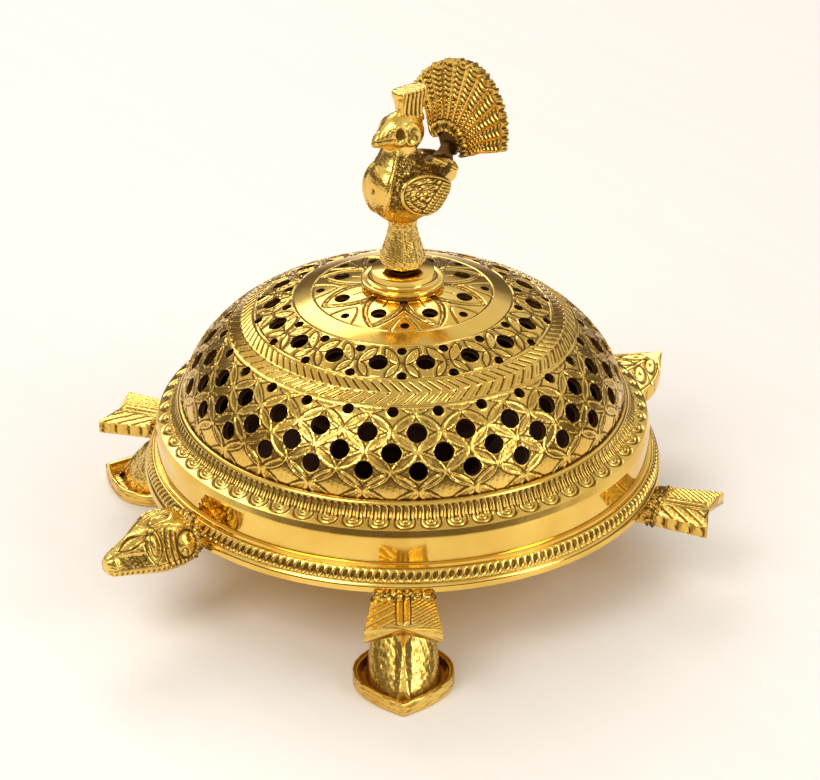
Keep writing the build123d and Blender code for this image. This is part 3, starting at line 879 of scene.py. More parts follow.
def flange_outline():
    """Closed outline of the lid's flange, starting at the outer lip."""
    lip, seat, ledge, top, foot = PAN_RADIUS, LID_SEAT, 65.2, FLANGE_TOP, DOME_FOOT
    cove = arc_points((lip - 2.2, seat + 2.9), (66.4, 44.1), (ledge, top - 0.6), 40)
    inner = arc_points((61.0, foot - 2.0), (64.4, foot - 4.0), (66.0, seat + 0.6), 8)
    return Outline([
        ([(lip, seat), (lip, seat + 0.3), (lip - 0.75, seat + 2.5)], 0.6),
        ([(lip - 0.75, seat + 2.5), (lip - 2.2, seat + 2.9)], 0.3),
        (cove, 0.22),
        ([(ledge, top - 0.6), (ledge - 0.6, top), (DOME_RADIUS, top)], 0.4),
        ([(DOME_RADIUS, top), (DOME_RADIUS, foot), (61.0, foot), (61.0, foot - 2.0)], 3.0),
        (inner, 1.5),
        ([(66.0, seat + 0.6), (66.0, seat - 2.7), (68.2, seat - 2.7), (68.2, seat), (lip, seat)], 4.0),
    ])


def flange_carve(outline):
    """Upright leaves above a row of hanging arches, on the cove of the flange."""
    low, high, inner = outline.marks[2:5]
    arch_low, leaf_low = outline.marks[1] + 0.3, low + 2.2

    def carve(turn, run):
        on_cove = ramp(run, leaf_low - 0.2, leaf_low + 0.2) * (1 - ramp(run, high - 0.5, high - 0.2))
        share = (run - leaf_low) / (high - leaf_low)
        half = 0.46 * np.sqrt(np.clip(1 - np.clip((share - 0.60) / 0.36, 0, 1) ** 2, 0, 1))
        across = np.abs((turn * 7) % 1.0 - 0.5)
        gap = 1 - ramp(half - across, 0.0, 0.13)
        slot = bump(across, 0.15) * ramp(share, 0.0, 0.1) * (1 - ramp(share, 0.50, 0.75))
        rise = run - arch_low
        arch = np.hypot(np.abs((turn * 2) % 1.0 - 0.5) * 7.4, (rise - 3.3) * 1.15)
        line = highest(bump(arch - 3.0, 0.55), 0.85 * bump(arch - 1.75, 0.36), 0.7 * bump(arch - 0.75, 0.30))
        cut = np.where((rise > 0) & (run < leaf_low + 0.4), line, 0)
        lift = on_cove * (-0.44 * gap - 0.26 * slot) - 0.40 * cut
        shade = on_cove * highest(0.42, 0.98 * gap, 0.70 * slot)
        # Cut lines are dark; the ledge under the dome's edge is made darker as a painted shadow of that edge
        shade = highest(shade, 0.85 * cut, 0.7 * ramp(run, high + 0.8, high + 1.4))
        # Past the seat, the inside gets recess 2, the painted shade of the inside
        return lift, np.where(run > inner + 3.0, INSIDE_SHADE, np.clip(shade, 0, 1))

    return carve


def rim_outline():
    """Closed outline of the cast rim, starting at the foot of its skirt."""
    out, foot, bead = RIM_RADIUS, DECK, PAN_RADIUS + 0.9
    flare = arc_points((out - 0.5, foot + 2.2), (out - 1.2, foot + 4.9), (bead, RIM_TOP - 0.8), 40)
    return Outline([
        ([(out, foot), (out, foot + 1.6), (out - 0.5, foot + 2.2)], 0.55),
        (flare, 0.24),
        ([(bead, RIM_TOP - 0.8), (bead, RIM_TOP), (PAN_RADIUS, RIM_TOP)], 0.4),
        ([(PAN_RADIUS, RIM_TOP), (PAN_RADIUS, foot), (out, foot)], 4.0),
    ])


def rim_carve(outline):
    """Slanting oval flutes between two plain beads."""
    low, high = outline.marks[1:3]
    middle, half = (low + high) / 2, (high - low) / 2 - 0.75

    def carve(turn, run):
        share = (run - middle) / half
        slant = (turn - 0.5 - 0.16 * share) * 2.24
        oval = 1 - ramp(np.hypot(slant / 0.86, share), 0.55, 1.0)
        lines = np.maximum(bump(run - low - 0.35, 0.30), bump(high - 0.30 - run, 0.26))
        cut = np.maximum(oval, 0.8 * lines)
        return -0.55 * cut, 0.8 * cut

    return carve


def pan_outline():
    """Closed outline of the pan: polished wall, mouth, floor with the cup's ring, and underside."""
    wall, floor, ring = PAN_RADIUS - 3.0, DECK + 2.2, DECK + 2.2 + 1.4
    corner = arc_points((wall, floor + 2.0), (wall - 0.586, floor + 0.586), (wall - 2.0, floor), 8)
    return Outline([
        ([(PAN_RADIUS, DECK), (PAN_RADIUS, LID_SEAT)], 0.5),
        ([(PAN_RADIUS, LID_SEAT), (wall, LID_SEAT), (wall, floor + 2.0)], 1.0),
        (corner, 0.5),
        ([(wall - 2.0, floor), (24.1, floor), (24.1, ring), (22.5, ring), (22.5, floor)], 1.0),
        ([(22.5, floor), (0.02, floor), (0.02, DECK), (PAN_RADIUS, DECK)], 6.0),
    ])


def band_carve(outline):
    """Tool lines on the polished band and painted shade inside the pan."""
    inside, centre = outline.marks[1] + 3.0, outline.marks[4] + 23.5

    def carve(turn, run):
        lines = bump(run - (RIM_TOP - DECK + 0.5), 0.4) + 0.6 * bump(run - (LID_SEAT - DECK - 0.7), 0.3)
        shade = np.clip(0.8 * lines, 0, 1)
        return -0.08 * lines, np.where((run > inside) & (run < centre), INSIDE_SHADE, shade)

    return carve


class BURNER_OT_flange(bpy.types.Operator):
    """Flange of the lid, with leaves and arches cut into its cove"""

    bl_idname = "burner.flange"
    bl_label = "Lid flange"

    def execute(self, context):
        count = sizes().arch_count // 2
        outline = flange_outline()
        sector = turned_sector("lid_flange_cove", outline, count, 56, flange_carve(outline))
        ring = repeat_round(sector, count, sizes().lattice_phase, material("carved_brass"), sizes().hand_cut * 0.8)
        finish_piece(ring, "lid", "lid_flange")
        return {"FINISHED"}


class BURNER_OT_base(bpy.types.Operator):
    """Turned pan and the fluted rim brazed round its foot"""

    bl_idname = "burner.base"
    bl_label = "Pan and rim"

    def execute(self, context):
        count = sizes().lattice_count * FLUTES_PER_HOLE
        outline = rim_outline()
        sector = turned_sector("fluted_rim", outline, count, 9, rim_carve(outline))
        ring = repeat_round(sector, count, 0.0, material("carved_brass"), sizes().hand_cut * 0.6)
        finish_piece(ring, "base", "rim_ring")

        outline = pan_outline()
        sector = turned_sector("turned_pan", outline, PAN_SECTORS, 10, band_carve(outline))
        ring = repeat_round(sector, PAN_SECTORS, 0.0, material("polished_brass"))
        finish_piece(ring, "base", "base_pan")
        return {"FINISHED"}


# ------------------------------------------------------------------ cast pieces
LOOP_STEPS = 720
UP = np.array([0, 0, 1.0])


def even_loop(points, count):
    """Evenly stepped points along the closed line through the points, and its length."""
    closed = np.vstack([points, points[:1]])
    length = step_lengths(closed)
    fine = np.linspace(0, length[-1], count, endpoint=False)
    return np.column_stack([np.interp(fine, length, closed[:, axis]) for axis in (0, 1)]), length[-1]


def smooth_loop(points, count, soften):
    """A closed line through the points, evenly stepped, with corners rounded over a length."""
    line, length = even_loop(np.array(points, float), LOOP_STEPS)
    width = soften / length * LOOP_STEPS
    frequency = np.fft.fftfreq(LOOP_STEPS) * LOOP_STEPS
    share = np.exp(-0.5 * (2 * pi * frequency * width / LOOP_STEPS) ** 2)
    line = np.real(np.fft.ifft(np.fft.fft(line, axis=0) * share[:, None], axis=0))
    return line[(np.arange(count) * LOOP_STEPS / count).astype(int)]


def through(knots, places, column=0):
    """Smooth values at places, through knots (place, value, ...)."""
    knots = np.array(knots, float)
    x, y = knots[:, 0], knots[:, 1 + column]
    slope = np.gradient(y, x)
    index = np.clip(np.searchsorted(x, places) - 1, 0, len(x) - 2)
    width = x[index + 1] - x[index]
    t = np.clip((places - x[index]) / width, 0, 1)
    a, b = 2 * t**3 - 3 * t**2 + 1, t**3 - 2 * t**2 + t
    c, d = -2 * t**3 + 3 * t**2, t**3 - t**2
    return a * y[index] + b * width * slope[index] + c * y[index + 1] + d * width * slope[index + 1]


def speckle(points, scale, seed, waves=14):
    """Smooth random values from about -1 to 1 at points; scale is the size of a bump."""
    random = np.random.default_rng(seed)
    turns = random.normal(size=(waves, 3)) * tau / (1.8 * scale)
    phases = random.uniform(0, tau, waves)
    return np.sin(points @ turns.T + phases).sum(axis=1) / sqrt(waves / 2) / 1.6


def mesh_normals(points, groups):
    """Unit normals of points in a mesh of triangles and quads."""
    normals = np.zeros_like(points)
    for faces in filter(len, groups):
        a, b, c, d = (points[faces[:, corner % faces.shape[1]]] for corner in range(4))
        across = np.cross(c - a, d - b)
        for corner in faces.T:
            np.add.at(normals, corner, across)
    size = np.linalg.norm(normals, axis=1)
    return normals / np.maximum(size, 1e-12)[:, None]


def outward(points, quads, *others):
    """Groups of faces turned outwards, judged by the volume that the quads enclose."""
    a, b, c, d = (points[quads[:, corner]] for corner in range(4))
    volume = np.einsum("ij,ij->", a, np.cross(b, c)) + np.einsum("ij,ij->", a, np.cross(c, d))
    return [group[:, ::-1] if volume < 0 else group for group in (quads, *others)]


def skin(rings):
    """Points and outward faces of a closed skin over rings of equal length."""
    rings = np.asarray(rings, float)
    rows, columns = rings.shape[:2]
    count, top, here = rows * columns, (rows - 1) * columns, np.arange(columns)
    there = (here + 1) % columns
    points = np.vstack([rings.reshape(-1, 3), rings[0].mean(axis=0), rings[-1].mean(axis=0)])
    low = np.column_stack([np.full(columns, count), there, here])
    high = np.column_stack([np.full(columns, count + 1), top + here, top + there])
    return points, outward(points, grid_faces(rows, columns, wrap_columns=True), np.vstack([low, high]))


def joined(parts):
    """Points and faces of several forms as one."""
    points, groups, start = [], [], 0
    for part, faces in parts:
        points.append(part)
        groups += [group + start for group in faces]
        start += len(part)
    return np.vstack(points), groups


def cast_piece(name, rings, carve, sharp=60.0):
    """A closed cast form over rings; carve gives lift and shade from its points and normals."""
    points, groups = skin(rings)
    normals = mesh_normals(points, groups)
    lift, shade = carve(points, normals)
    return mesh_object(name, points + normals * lift[:, None], groups, np.clip(shade, 0, 1), sharp)


def limb_frame(angle):
    """Outward and leftward unit vectors of a limb."""
    turn = radians(angle)
    return np.array([cos(turn), sin(turn), 0.0]), np.array([-sin(turn), cos(turn), 0.0])


def placed(axes, distances, *origin):
    """Points at distances along axes."""
    along = (np.asarray(distance)[..., None] * axis for distance, axis in zip(distances, axes))
    return reduce(np.add, [*origin, *along])


def place_limb(angle, *distances):
    """Points of the object from a limb's own reach, side and height."""
    return placed((*limb_frame(angle), UP), distances)


def limb_places(angle, points):
    """Reach, side and height of points on a limb."""
    out, left = limb_frame(angle)
    return points @ out, points @ left, points[:, 2]


def slab_rings(angle, stations, across_top, across_bottom, shape):
    """Rings of a flat limb: shape(share, side) gives reach, side, underside and top."""
    rise = np.linspace(0, 1, 6)[1:-1]
    rings = []
    for share in stations:
        reach_t, side_t, _, high = shape(share, np.linspace(-1, 1, across_top))
        reach_b, side_b, low, _ = shape(share, np.linspace(1, -1, across_bottom))
        edges = []
        for side, steps in ((1.0, 1 - rise), (-1.0, rise)):
            reach, beside, foot, top = shape(share, np.full(len(rise), side))
            edges.append([reach, beside, foot + (top - foot) * steps])
        strips = [reach_t, side_t, high], edges[0], [reach_b, side_b, low], edges[1]
        rings.append(place_limb(angle, *np.hstack(strips)))
    return rings


def facing(normals):
    """How much each point faces up, and how much sideways."""
    return np.clip(normals[:, 2] * 1.6 - 0.6, 0, 1), np.clip(1 - np.abs(normals[:, 2]) * 2.2, 0, 1)


LIMB_LOW, LIMB_ROOT = 21.0, 60
SOLDER_REACH = 77.5


def solder(points, reach, seed, amount=0.5):
    """Lumps of solder where a limb meets the rim."""
    near = np.clip(1 - (reach - SOLDER_REACH) / 2.2, 0, 1) * ramp(reach, RIM_RADIUS - 0.8, RIM_RADIUS + 0.2)
    lumps = speckle(points, 0.9, seed)
    return amount * near * lumps, near * np.clip(0.45 + 0.5 * lumps, 0, 1)


# Angle, the side with broad barbs, seed
FLIPPERS = {
    "front_left_flipper": (322.2, -1.0, 11),
    "front_right_flipper": (211.5, 1.0, 23),
    "rear_left_flipper": (33.5, -1.0, 37),
    "rear_right_flipper": (146.5, 1.0, 41),
}
# Reach and half width
FLIPPER_WIDTHS = [(60, 7.0), (74, 8.0), (84, 9.2), (93.6, 10.4)]
TAIL_WIDTHS = [(60, 5.0), (72, 9.0), (82, 13.0), (92, 9.6), (102, 0.25)]


def flipper_piece(name, angle, hand, seed):
    """Flat limb with a swallow-tail end, a double midrib and slanting barbs."""

    def shape(share, side):
        width = through(FLIPPER_WIDTHS, np.array([LIMB_ROOT + share * 33.6]))[0]
        reach = LIMB_ROOT + share * (89.4 + 4.2 * np.abs(side) - LIMB_ROOT)
        return reach, width * side, LIMB_LOW * np.ones_like(side), DECK - 0.35 * np.abs(side) ** 8

    def carve(points, normals):
        reach, side, height = limb_places(angle, points)
        face, wall = facing(normals)
        end_wall = wall * np.clip((normals @ limb_frame(angle)[0]) * 2 - 0.6, 0, 1)
        flank = wall - end_wall
        away = np.abs(side)
        beyond = ramp(reach, RIM_RADIUS, RIM_RADIUS + 0.6)
        broad = np.abs(((reach - 0.95 * away) / 3.9 + 0.35) % 1.0 - 0.5) * 3.9
        narrow = np.abs(((reach + 1.05 * away) / 1.75 + 0.2) % 1.0 - 0.5) * 1.75
        barbs = np.where(side * hand > 0, bump(broad, 0.55), 0.85 * bump(narrow, 0.48)) * ramp(away, 1.9, 2.3)
        cut = np.clip(np.maximum(barbs, bump(away, 0.50) + bump(away - 2.0, 0.42)), 0, 1)
        lumps = np.abs(np.sin((reach / 3.9 + 0.35) * pi))
        rough = speckle(points, 0.75, seed)
        files = np.abs(np.sin(side * 4.1 + 0.8 * np.sin(height * 2.0)))
        extra, dark = solder(points, reach, seed)
        lift = face * beyond * (0.12 * bump(away - 1.15, 0.55) - 0.48 * cut)
        lift = lift + flank * beyond * (0.55 * (lumps - 0.6) + 0.22 * rough) - end_wall * 0.13 * files
        lift = lift + extra + 0.05 * face * speckle(points, 0.6, seed + 1)
        worn = flank * np.clip(0.85 - 1.1 * lumps + 0.25 * rough, 0, 1)
        return lift, highest(face * beyond * cut * 0.95, worn, end_wall * 0.55 * files**2, dark)

    stations = np.r_[np.linspace(0, 0.40, 5), np.linspace(0.41, 1.0, 64)]
    return cast_piece(name + "_cast", slab_rings(angle, stations, 60, 8, shape), carve)


def tail_piece():
    """Leaf-shaped tail that curls up, with two rows of looped leaves."""

    def shape(share, side):
        reach = np.array([LIMB_ROOT + share * 41.85])
        width = through(TAIL_WIDTHS, reach)[0]
        low = through([(60, 21), (80, 21), (92, 22.8), (102, 26.6)], reach)[0]
        high = through([(60, 25), (76, 25), (90, 26.6), (102, 28.2)], reach)[0]
        ones = np.ones_like(side)
        return reach[0] * ones, width * side, low * ones, high - 0.5 * np.abs(side) ** 6

    def carve(points, normals):
        reach, side, _ = limb_places(90.0, points)
        face, wall = facing(normals)
        away = np.abs(side)
        beyond = ramp(reach, RIM_RADIUS, RIM_RADIUS + 0.6) * (1 - ramp(reach, 96.5, 98.0))
        width = through(TAIL_WIDTHS, reach)
        along = (((reach + 0.55 * away) / 4.7) % 1.0 - 0.5) * 4.7
        loop = np.hypot(along / 1.9, (away - 0.42 * width) / (0.24 * width + 1.1))
        cut = np.clip(highest(
            bump(loop - 1.0, 0.24), bump(loop, 0.30),
            bump(np.abs(along) - 2.35, 0.32) * ramp(away, 1.4, 1.9),
            bump(away - 0.8, 0.34), bump(width - away - 1.3, 0.34),
        ), 0, 1)
        notch = np.abs(np.sin(reach / 4.7 * pi))
        extra, dark = solder(points, reach, 53)
        lift = -0.42 * face * beyond * cut + wall * 0.35 * (notch - 0.6)
        return lift + extra, highest(0.95 * face * beyond * cut, wall * np.clip(0.7 - notch, 0, 1), dark)

    stations = np.r_[np.linspace(0, 0.34, 5), np.linspace(0.35, 1.0, 84)]
    return cast_piece("turtle_tail_cast", slab_rings(90.0, stations, 76, 10, shape), carve)


def inset_loop(loop, amount):
    """A flat closed line moved inwards, its first corner kept sharp."""
    a, b = loop - np.roll(loop, 1, axis=0), np.roll(loop, -1, axis=0) - loop
    a /= np.hypot(*a.T)[:, None]
    b /= np.hypot(*b.T)[:, None]
    normal = np.column_stack([-(a + b)[:, 1], (a + b)[:, 0]])
    normal /= np.hypot(*normal.T)[:, None]
    lean = np.clip(np.einsum("ij,ij->i", normal, np.column_stack([-a[:, 1], a[:, 0]])), 0.45, 1)
    return loop + normal * (amount / lean)[:, None]


# Outline of a foot from its point to its heel, and the mound's head: reach from the point, side
SPADE = [(0, 0), (-5.5, 7.4), (-13.0, 13.0), (-21.0, 13.4), (-28.0, 9.0), (-31.5, 0)]
FOOT_HEAD = [(-21.0, 0), (-26.0, 7.4), (-36.0, 6.4), (-36.0, -6.4), (-26.0, -7.4)]
FOOT_POINTS = 200
# Angle, reach of the point, seed
FEET = {
    "front_left_foot": (322.2, 97.5, 61),
    "front_right_foot": (211.5, 97.5, 67),
    "rear_foot": (90.0, 95.5, 71),
}


def spade_loop(reach):
    """Outline of a foot in reach and side, from its point round by the left."""
    half = np.array(SPADE, float)
    length = step_lengths(half)
    fine = np.linspace(0, length[-1], FOOT_POINTS // 2 + 1)
    left = np.column_stack([through(np.column_stack([length, half[:, axis]]), fine) for axis in (0, 1)])
    loop = np.vstack([left, left[1:-1][::-1] * (1, -1)])
    loop[:, 0] += reach
    return loop


def foot_piece(name, angle, reach, seed):
    """Cupped spade with a brushed rim and a ridged, punched mound rising to the limb."""
    outer = spade_loop(reach)
    inner, channel, base = (inset_loop(outer, amount) for amount in (1.3, 2.3, 3.6))
    base[:, 0] -= 2.6 * np.clip((base[:, 0] - reach + 12.0) / 10.0, 0, 1) ** 2
    head, _ = even_loop(np.array([(reach + r, s) for r, s in FOOT_HEAD]), FOOT_POINTS)
    levels = [(inset_loop(outer, 0.5), 0.0)] + [(outer, height) for height in np.linspace(0.35, 3.7, 9)]
    levels += [(inset_loop(outer, 0.25), 4.0), (inset_loop(outer, 0.75), 4.0), (inner, 3.75)]
    levels += [(inner + (channel - inner) * share, 3.75 - 2.2 * share) for share in (0.35, 0.7, 1.0)]
    first_inside = len(levels) * FOOT_POINTS
    levels.append((base, 1.6))
    for share in np.linspace(0.03, 1.0, 46):
        levels.append((base + (head - base) * share**1.15, 1.6 + (LIMB_LOW - 1.6) * share))
    rings = [place_limb(angle, loop[:, 0], loop[:, 1], np.full(FOOT_POINTS, height)) for loop, height in levels]

    def carve(points, normals):
        _, side, height = limb_places(angle, points)
        inside = np.zeros(len(points))
        inside[first_inside:-2] = 1.0
        wall = ramp(1 - np.abs(normals[:, 2]), 0.55, 0.85) * (1 - ramp(height, 3.5, 3.9))
        wall = wall * (height > 0.3)
        grain = np.sin(height * 9.0 + 2.6 * speckle(points * (0.25, 0.25, 1.0), 1.6, seed))
        dots = speckle(points, 0.80, seed + 3, 26)
        ridge = (1 - np.clip(np.abs(side) / 2.2, 0, 1)) * inside * (1 - ramp(height, 13.0, 17.0))
        lift = wall * 0.10 * grain * (1 - inside) + inside * 0.08 * dots + 0.9 * ridge * ramp(height, 1.6, 3.5)
        shade = wall * (1 - inside) * np.clip(0.18 - 0.45 * grain, 0, 0.6)
        shade = shade + inside * np.clip(0.30 - 0.45 * dots, 0, 0.65)
        shade = np.maximum(shade, 0.62 * inside * (1 - ramp(height, 2.0, 5.5))) * (1 - 0.9 * ridge)
        return lift, np.maximum(shade, 0.55 * ((height < 3.2) & (height > 1.4)) * inside)

    return cast_piece(name + "_cast", rings, carve, sharp=50.0)


HEAD_ANGLE = 270.0
# Head sections: reach, jaw half width, underside, ridge, brow half width, brow height
HEAD_SECTIONS = [
    (74.0, 5.8, 23.6, 33.0, 4.2, 31.4),
    (77.0, 7.4, 22.6, 34.9, 5.0, 33.0),
    (81.0, 8.6, 21.9, 36.3, 5.2, 34.5),
    (85.0, 8.8, 21.8, 36.9, 4.5, 35.6),
    (88.5, 8.5, 21.9, 36.8, 3.6, 35.7),
    (92.0, 7.3, 22.2, 35.4, 2.7, 34.2),
    (96.0, 5.4, 22.5, 33.0, 2.1, 31.9),
    (100.0, 3.7, 22.9, 30.7, 1.7, 29.9),
    (102.2, 2.6, 23.5, 29.4, 1.4, 28.8),
    (102.9, 1.7, 24.4, 28.7, 1.0, 28.2),
]
BROW_LINE = [(74, 32.0), (82, 34.2), (86, 35.4), (89, 34.9), (93, 33.2), (97, 31.3), (103, 29.0)]


def head_rings():
    """Rings of the head along its reach."""
    reaches = np.r_[np.linspace(74.0, 102.0, 104), 102.3, 102.6, 102.8, 102.9]
    rings = []
    for r, w, low, top, b, bz in zip(reaches, *(through(HEAD_SECTIONS, reaches, column) for column in range(5))):
        half = [
            (0, top), (0.5 * b, 0.35 * bz + 0.65 * top), (b, bz), (0.5 * (b + w) + 0.5, 0.5 * (bz + low) + 0.6),
            (w, low + 2.2), (0.82 * w, low + 0.4), (0.4 * w, low),
        ]
        line = smooth_loop(half + [(-x, z) for x, z in half[:0:-1]], 168, 0.55)
        rings.append(place_limb(HEAD_ANGLE, np.full(len(line), r), line[:, 0], line[:, 1]))
    return rings


def head_carve(points, normals):
    """Ears, lidded almond eyes, creases, leaves, teeth and a stippled panel on the jaw."""
    reach, side, height = limb_places(HEAD_ANGLE, points)
    away = np.abs(side)
    flank = ramp(np.abs(normals @ limb_frame(HEAD_ANGLE)[1]), 0.30, 0.55)
    upper = ramp(normals[:, 2], 0.35, 0.7)
    ear = np.hypot((reach - 80.6) / 3.3, (height - 28.6) / 3.7)
    small_ear = np.hypot((reach - 82.0) / 1.3, (height - 26.4) / 1.5)
    lean = reach - 90.2 + 0.10 * (height - 30.5)
    eye = np.abs(height - 30.6) / 5.0
    lids = bump(np.abs(lean) - 2.1 * np.clip(1 - eye**2, 0, 1), 0.42) * (eye < 1.02)
    pupil = np.hypot(lean / 0.9, (height - 30.6) / 2.9)
    ball = bump(np.hypot(lean / 1.3, (height - 30.6) / 3.6), 1.0)
    arcs = np.zeros(len(points))
    for back in (3.0, 4.7, 6.3):
        bow = lean + back + 0.055 * (height - 29.8) ** 2 * 0.6
        arcs = np.maximum(arcs, bump(bow, 0.48) * (height < 34.4 - 0.5 * (back - 3)) * (height > 24.2))
    crease = bump(height - through(BROW_LINE, reach) + 0.65, 0.55)
    share = np.clip((reach - 91.0) / 8.2, 0, 1)
    beside, leaf_half = np.abs(height - (33.3 - 2.9 * share)), 1.25 * np.sin(pi * share) ** 0.8
    on_leaf = (reach > 90.8) & (reach < 99.4) & (away > 0.3)
    leaf_fill = (beside < leaf_half) * on_leaf
    crown_leaf = np.hypot((reach - 86.5) / 3.4, (away - 2.0) / 1.15)
    line = highest(
        bump(ear - 1.0, 0.24) * flank, 0.8 * bump(small_ear - 1.0, 0.35) * flank, lids * flank,
        0.8 * bump(pupil - 1.0, 0.34) * flank, arcs * flank, 0.6 * (crease * flank),
        0.9 * (bump(beside - leaf_half, 0.34) * on_leaf),
        0.85 * bump(crown_leaf - 1.0, 0.26) * upper, 0.6 * bump(away, 0.22) * upper * (reach < 92),
    )
    teeth = np.abs(np.sin(reach * 2.35)) * bump(height - 23.9, 1.5) * flank
    low = bump(height - 25.4, 0.4) * flank * (reach > 82)
    panel = flank * ramp(reach, 91.5, 93.0) * (1 - ramp(reach, 99.5, 101.0)) * (1 - ramp(height, 28.6, 29.6))
    panel = panel * ramp(height, 24.9, 25.4)
    extra, dark = solder(points, reach, 89, 0.6)
    lift = -0.42 * line + 0.55 * bump(ear, 0.95) * flank + 0.45 * ball * flank - 0.28 * teeth - 0.2 * low
    lift = lift - 0.35 * panel - 0.25 * leaf_fill + 0.05 * speckle(points, 0.7, 83) + extra
    stipple = panel * np.clip(0.52 + 0.4 * speckle(points, 0.7, 85), 0, 1)
    return lift, highest(0.95 * line, 0.8 * teeth, 0.7 * low, stipple, 0.35 * leaf_fill, dark)


class BURNER_OT_limbs(bpy.types.Operator):
    """Turtle's head, flippers, tail and the three spade feet"""

    bl_idname = "burner.limbs"
    bl_label = "Turtle limbs"

    def execute(self, context):
        pieces = {name: flipper_piece(name, *given) for name, given in FLIPPERS.items()}
        pieces.update((name, foot_piece(name, *given)) for name, given in FEET.items())
        pieces["turtle_tail"] = tail_piece()
        pieces["turtle_head"] = cast_piece("turtle_head_cast", head_rings(), head_carve, sharp=70.0)
        for name, piece in pieces.items():
            finish_piece(piece, "base", name, material("cast_brass"))
        return {"FINISHED"}


# ------------------------------------------------------------------ turned fittings
TURNED_SHARP = 40.0


def turned_piece(name, outline, count, shade, closed=True):
    """A full turn of an outline of radius and height; an open outline is capped on the axis."""
    outline = np.array(outline, float)
    turns = np.linspace(0, tau, count, endpoint=False)
    axes = [np.outer(outline[:, 0], np.cos(turns)), np.outer(outline[:, 0], np.sin(turns))]
    rings = np.stack([*axes, np.repeat(outline[:, 1:], count, axis=1)], axis=2)
    points, groups = skin(rings)
    if closed:
        points = rings.reshape(-1, 3)
        groups = outward(points, grid_faces(len(outline), count, wrap_rows=True, wrap_columns=True))
    return mesh_object(name, points, groups, shade(points), TURNED_SHARP)


class BURNER_OT_finial(bpy.types.Operator):
    """Turned collar under the peacock"""

    bl_idname = "burner.finial"
    bl_label = "Finial collar"

    def execute(self, context):
        top, foot, wide = COLLAR[1].z, COLLAR[0].z + 0.03, COLLAR[1].x
        fillet = arc_points((9.0, top - 1.9), (9.35, top - 2.45), (10.6, top - 2.75), 9)
        lip = arc_points((11.3, top - 2.8), (wide - 0.02, top - 3.3), (11.4, top - 3.85), 11)
        groove = arc_points((11.35, top - 3.85), (11.0, top - 4.1), (11.35, top - 4.3), 7)
        outline = [(2.02, top - 0.05), (8.6, top - 0.05), (8.9, top - 0.2), (9.0, top - 0.5), *fillet]
        outline += [*lip, *groove, (11.75, top - 4.45), (11.75, foot + 0.1), (11.6, foot), (2.02, foot)]

        def shade(points):
            far = np.hypot(points[:, 0], points[:, 1])
            # Painted shadow and dirt: the top round the bell's foot is made dark, where the bell shades it
            under = (far < 7.0) * (points[:, 2] > top - 1) * 0.9
            cut = bump(points[:, 2] - (top - 4.08), 0.35) * (far < 11.3)
            return np.clip(under + cut, 0, 1)

        piece = turned_piece("collar_turned", outline, 160, shade)
        finish_piece(piece, "lid", "finial_collar", material("polished_brass"))
        return {"FINISHED"}


class BURNER_OT_cup(bpy.types.Operator):
    """Lift-out ember cup under the dome"""

    bl_idname = "burner.cup"
    bl_label = "Ember cup"

    def execute(self, context):
        foot, top, wide = CUP[0].z, CUP[1].z, CUP[1].x
        outer = arc_points((22.0, foot + 2.2), (27.9, foot + 9.2), (wide - 1.0, top - 1.5), 22)
        inner = arc_points((wide - 2.5, top - 0.1), (26.2, foot + 9.8), (19.0, foot + 2.0), 22)
        outline = [(4.0, foot + 0.8), (20.1, foot + 0.8), (20.3, foot + 0.05), (21.8, foot + 0.05), (22.0, foot + 0.3)]
        outline += [*outer, (wide - 0.05, top - 1.3), (wide, top - 0.3), (wide - 0.3, top), *inner, (4.0, foot + 2.0)]

        def shade(points):
            far = np.hypot(points[:, 0], points[:, 1])
            wall = np.interp(points[:, 2], (foot + 1.9, foot + 9.8, top), (21.0, 27.0, wide - 1.6))
            # Inside the cup: recess 2, the painted shade of the inside; outside: full patina
            return np.where((far < wall) & (points[:, 2] > foot + 1.9), INSIDE_SHADE, 1.0)

        piece = turned_piece("ember_cup_spun", outline, 128, shade, closed=False)
        finish_piece(piece, "ember_cup", "ember_cup", material("cup_brass"))
        return {"FINISHED"}


# ------------------------------------------------------------------ peacock
# Bell: height, radius
BELL = [
    (87.5, 5.0), (87.8, 5.8), (88.6, 6.4), (90.5, 6.3), (93.0, 5.6), (96.5, 4.5), (99.8, 3.8), (102.5, 4.1), (105, 5.2),
]
BELL_TURN, BELL_STEP = -38.0, 45.0
BOSS_RADIUS, BOSS_HEIGHTS = 3.4, (86.45, 88.5)
# Torso and head: distance along Y, middle height, half width, half height
TORSO = [
    (-10.7, 112.8, 1.8, 2.4), (-10.0, 112.5, 3.9, 4.6), (-8.4, 112.0, 6.0, 6.9), (-4.6, 111.2, 7.9, 9.0),
    (1.0, 110.6, 8.4, 9.8), (7.0, 110.8, 7.4, 8.2), (12.0, 112.0, 5.2, 5.4), (16.2, 113.4, 3.0, 2.6),
]
BEAK_AND_HEAD = [
    (5.9, 127.8, 1.2, 1.4), (5.2, 127.8, 3.0, 3.3), (3.6, 127.8, 4.4, 4.9), (-0.4, 128.0, 5.1, 5.8),
    (-4.2, 128.3, 4.1, 4.9), (-7.6, 127.6, 2.2, 2.7), (-10.2, 126.9, 0.9, 1.2), (-10.8, 126.6, 0.35, 0.5),
]
# Neck and crest: height, distance along Y, half width, half depth
NECK = [
    (112.0, -2.3, 6.8, 7.2), (115.5, -2.2, 6.3, 6.8), (118.5, -1.9, 5.6, 6.3), (122.3, -1.0, 4.4, 5.1),
    (127.0, 0.0, 4.2, 4.8),
]
CREST = [
    (130.4, 2.4, 2.5, 4.5), (133.0, 2.5, 2.1, 4.2), (137.0, 2.6, 2.4, 4.9), (139.6, 2.6, 2.8, 5.5),
    (140.1, 2.6, 2.6, 5.3),
]
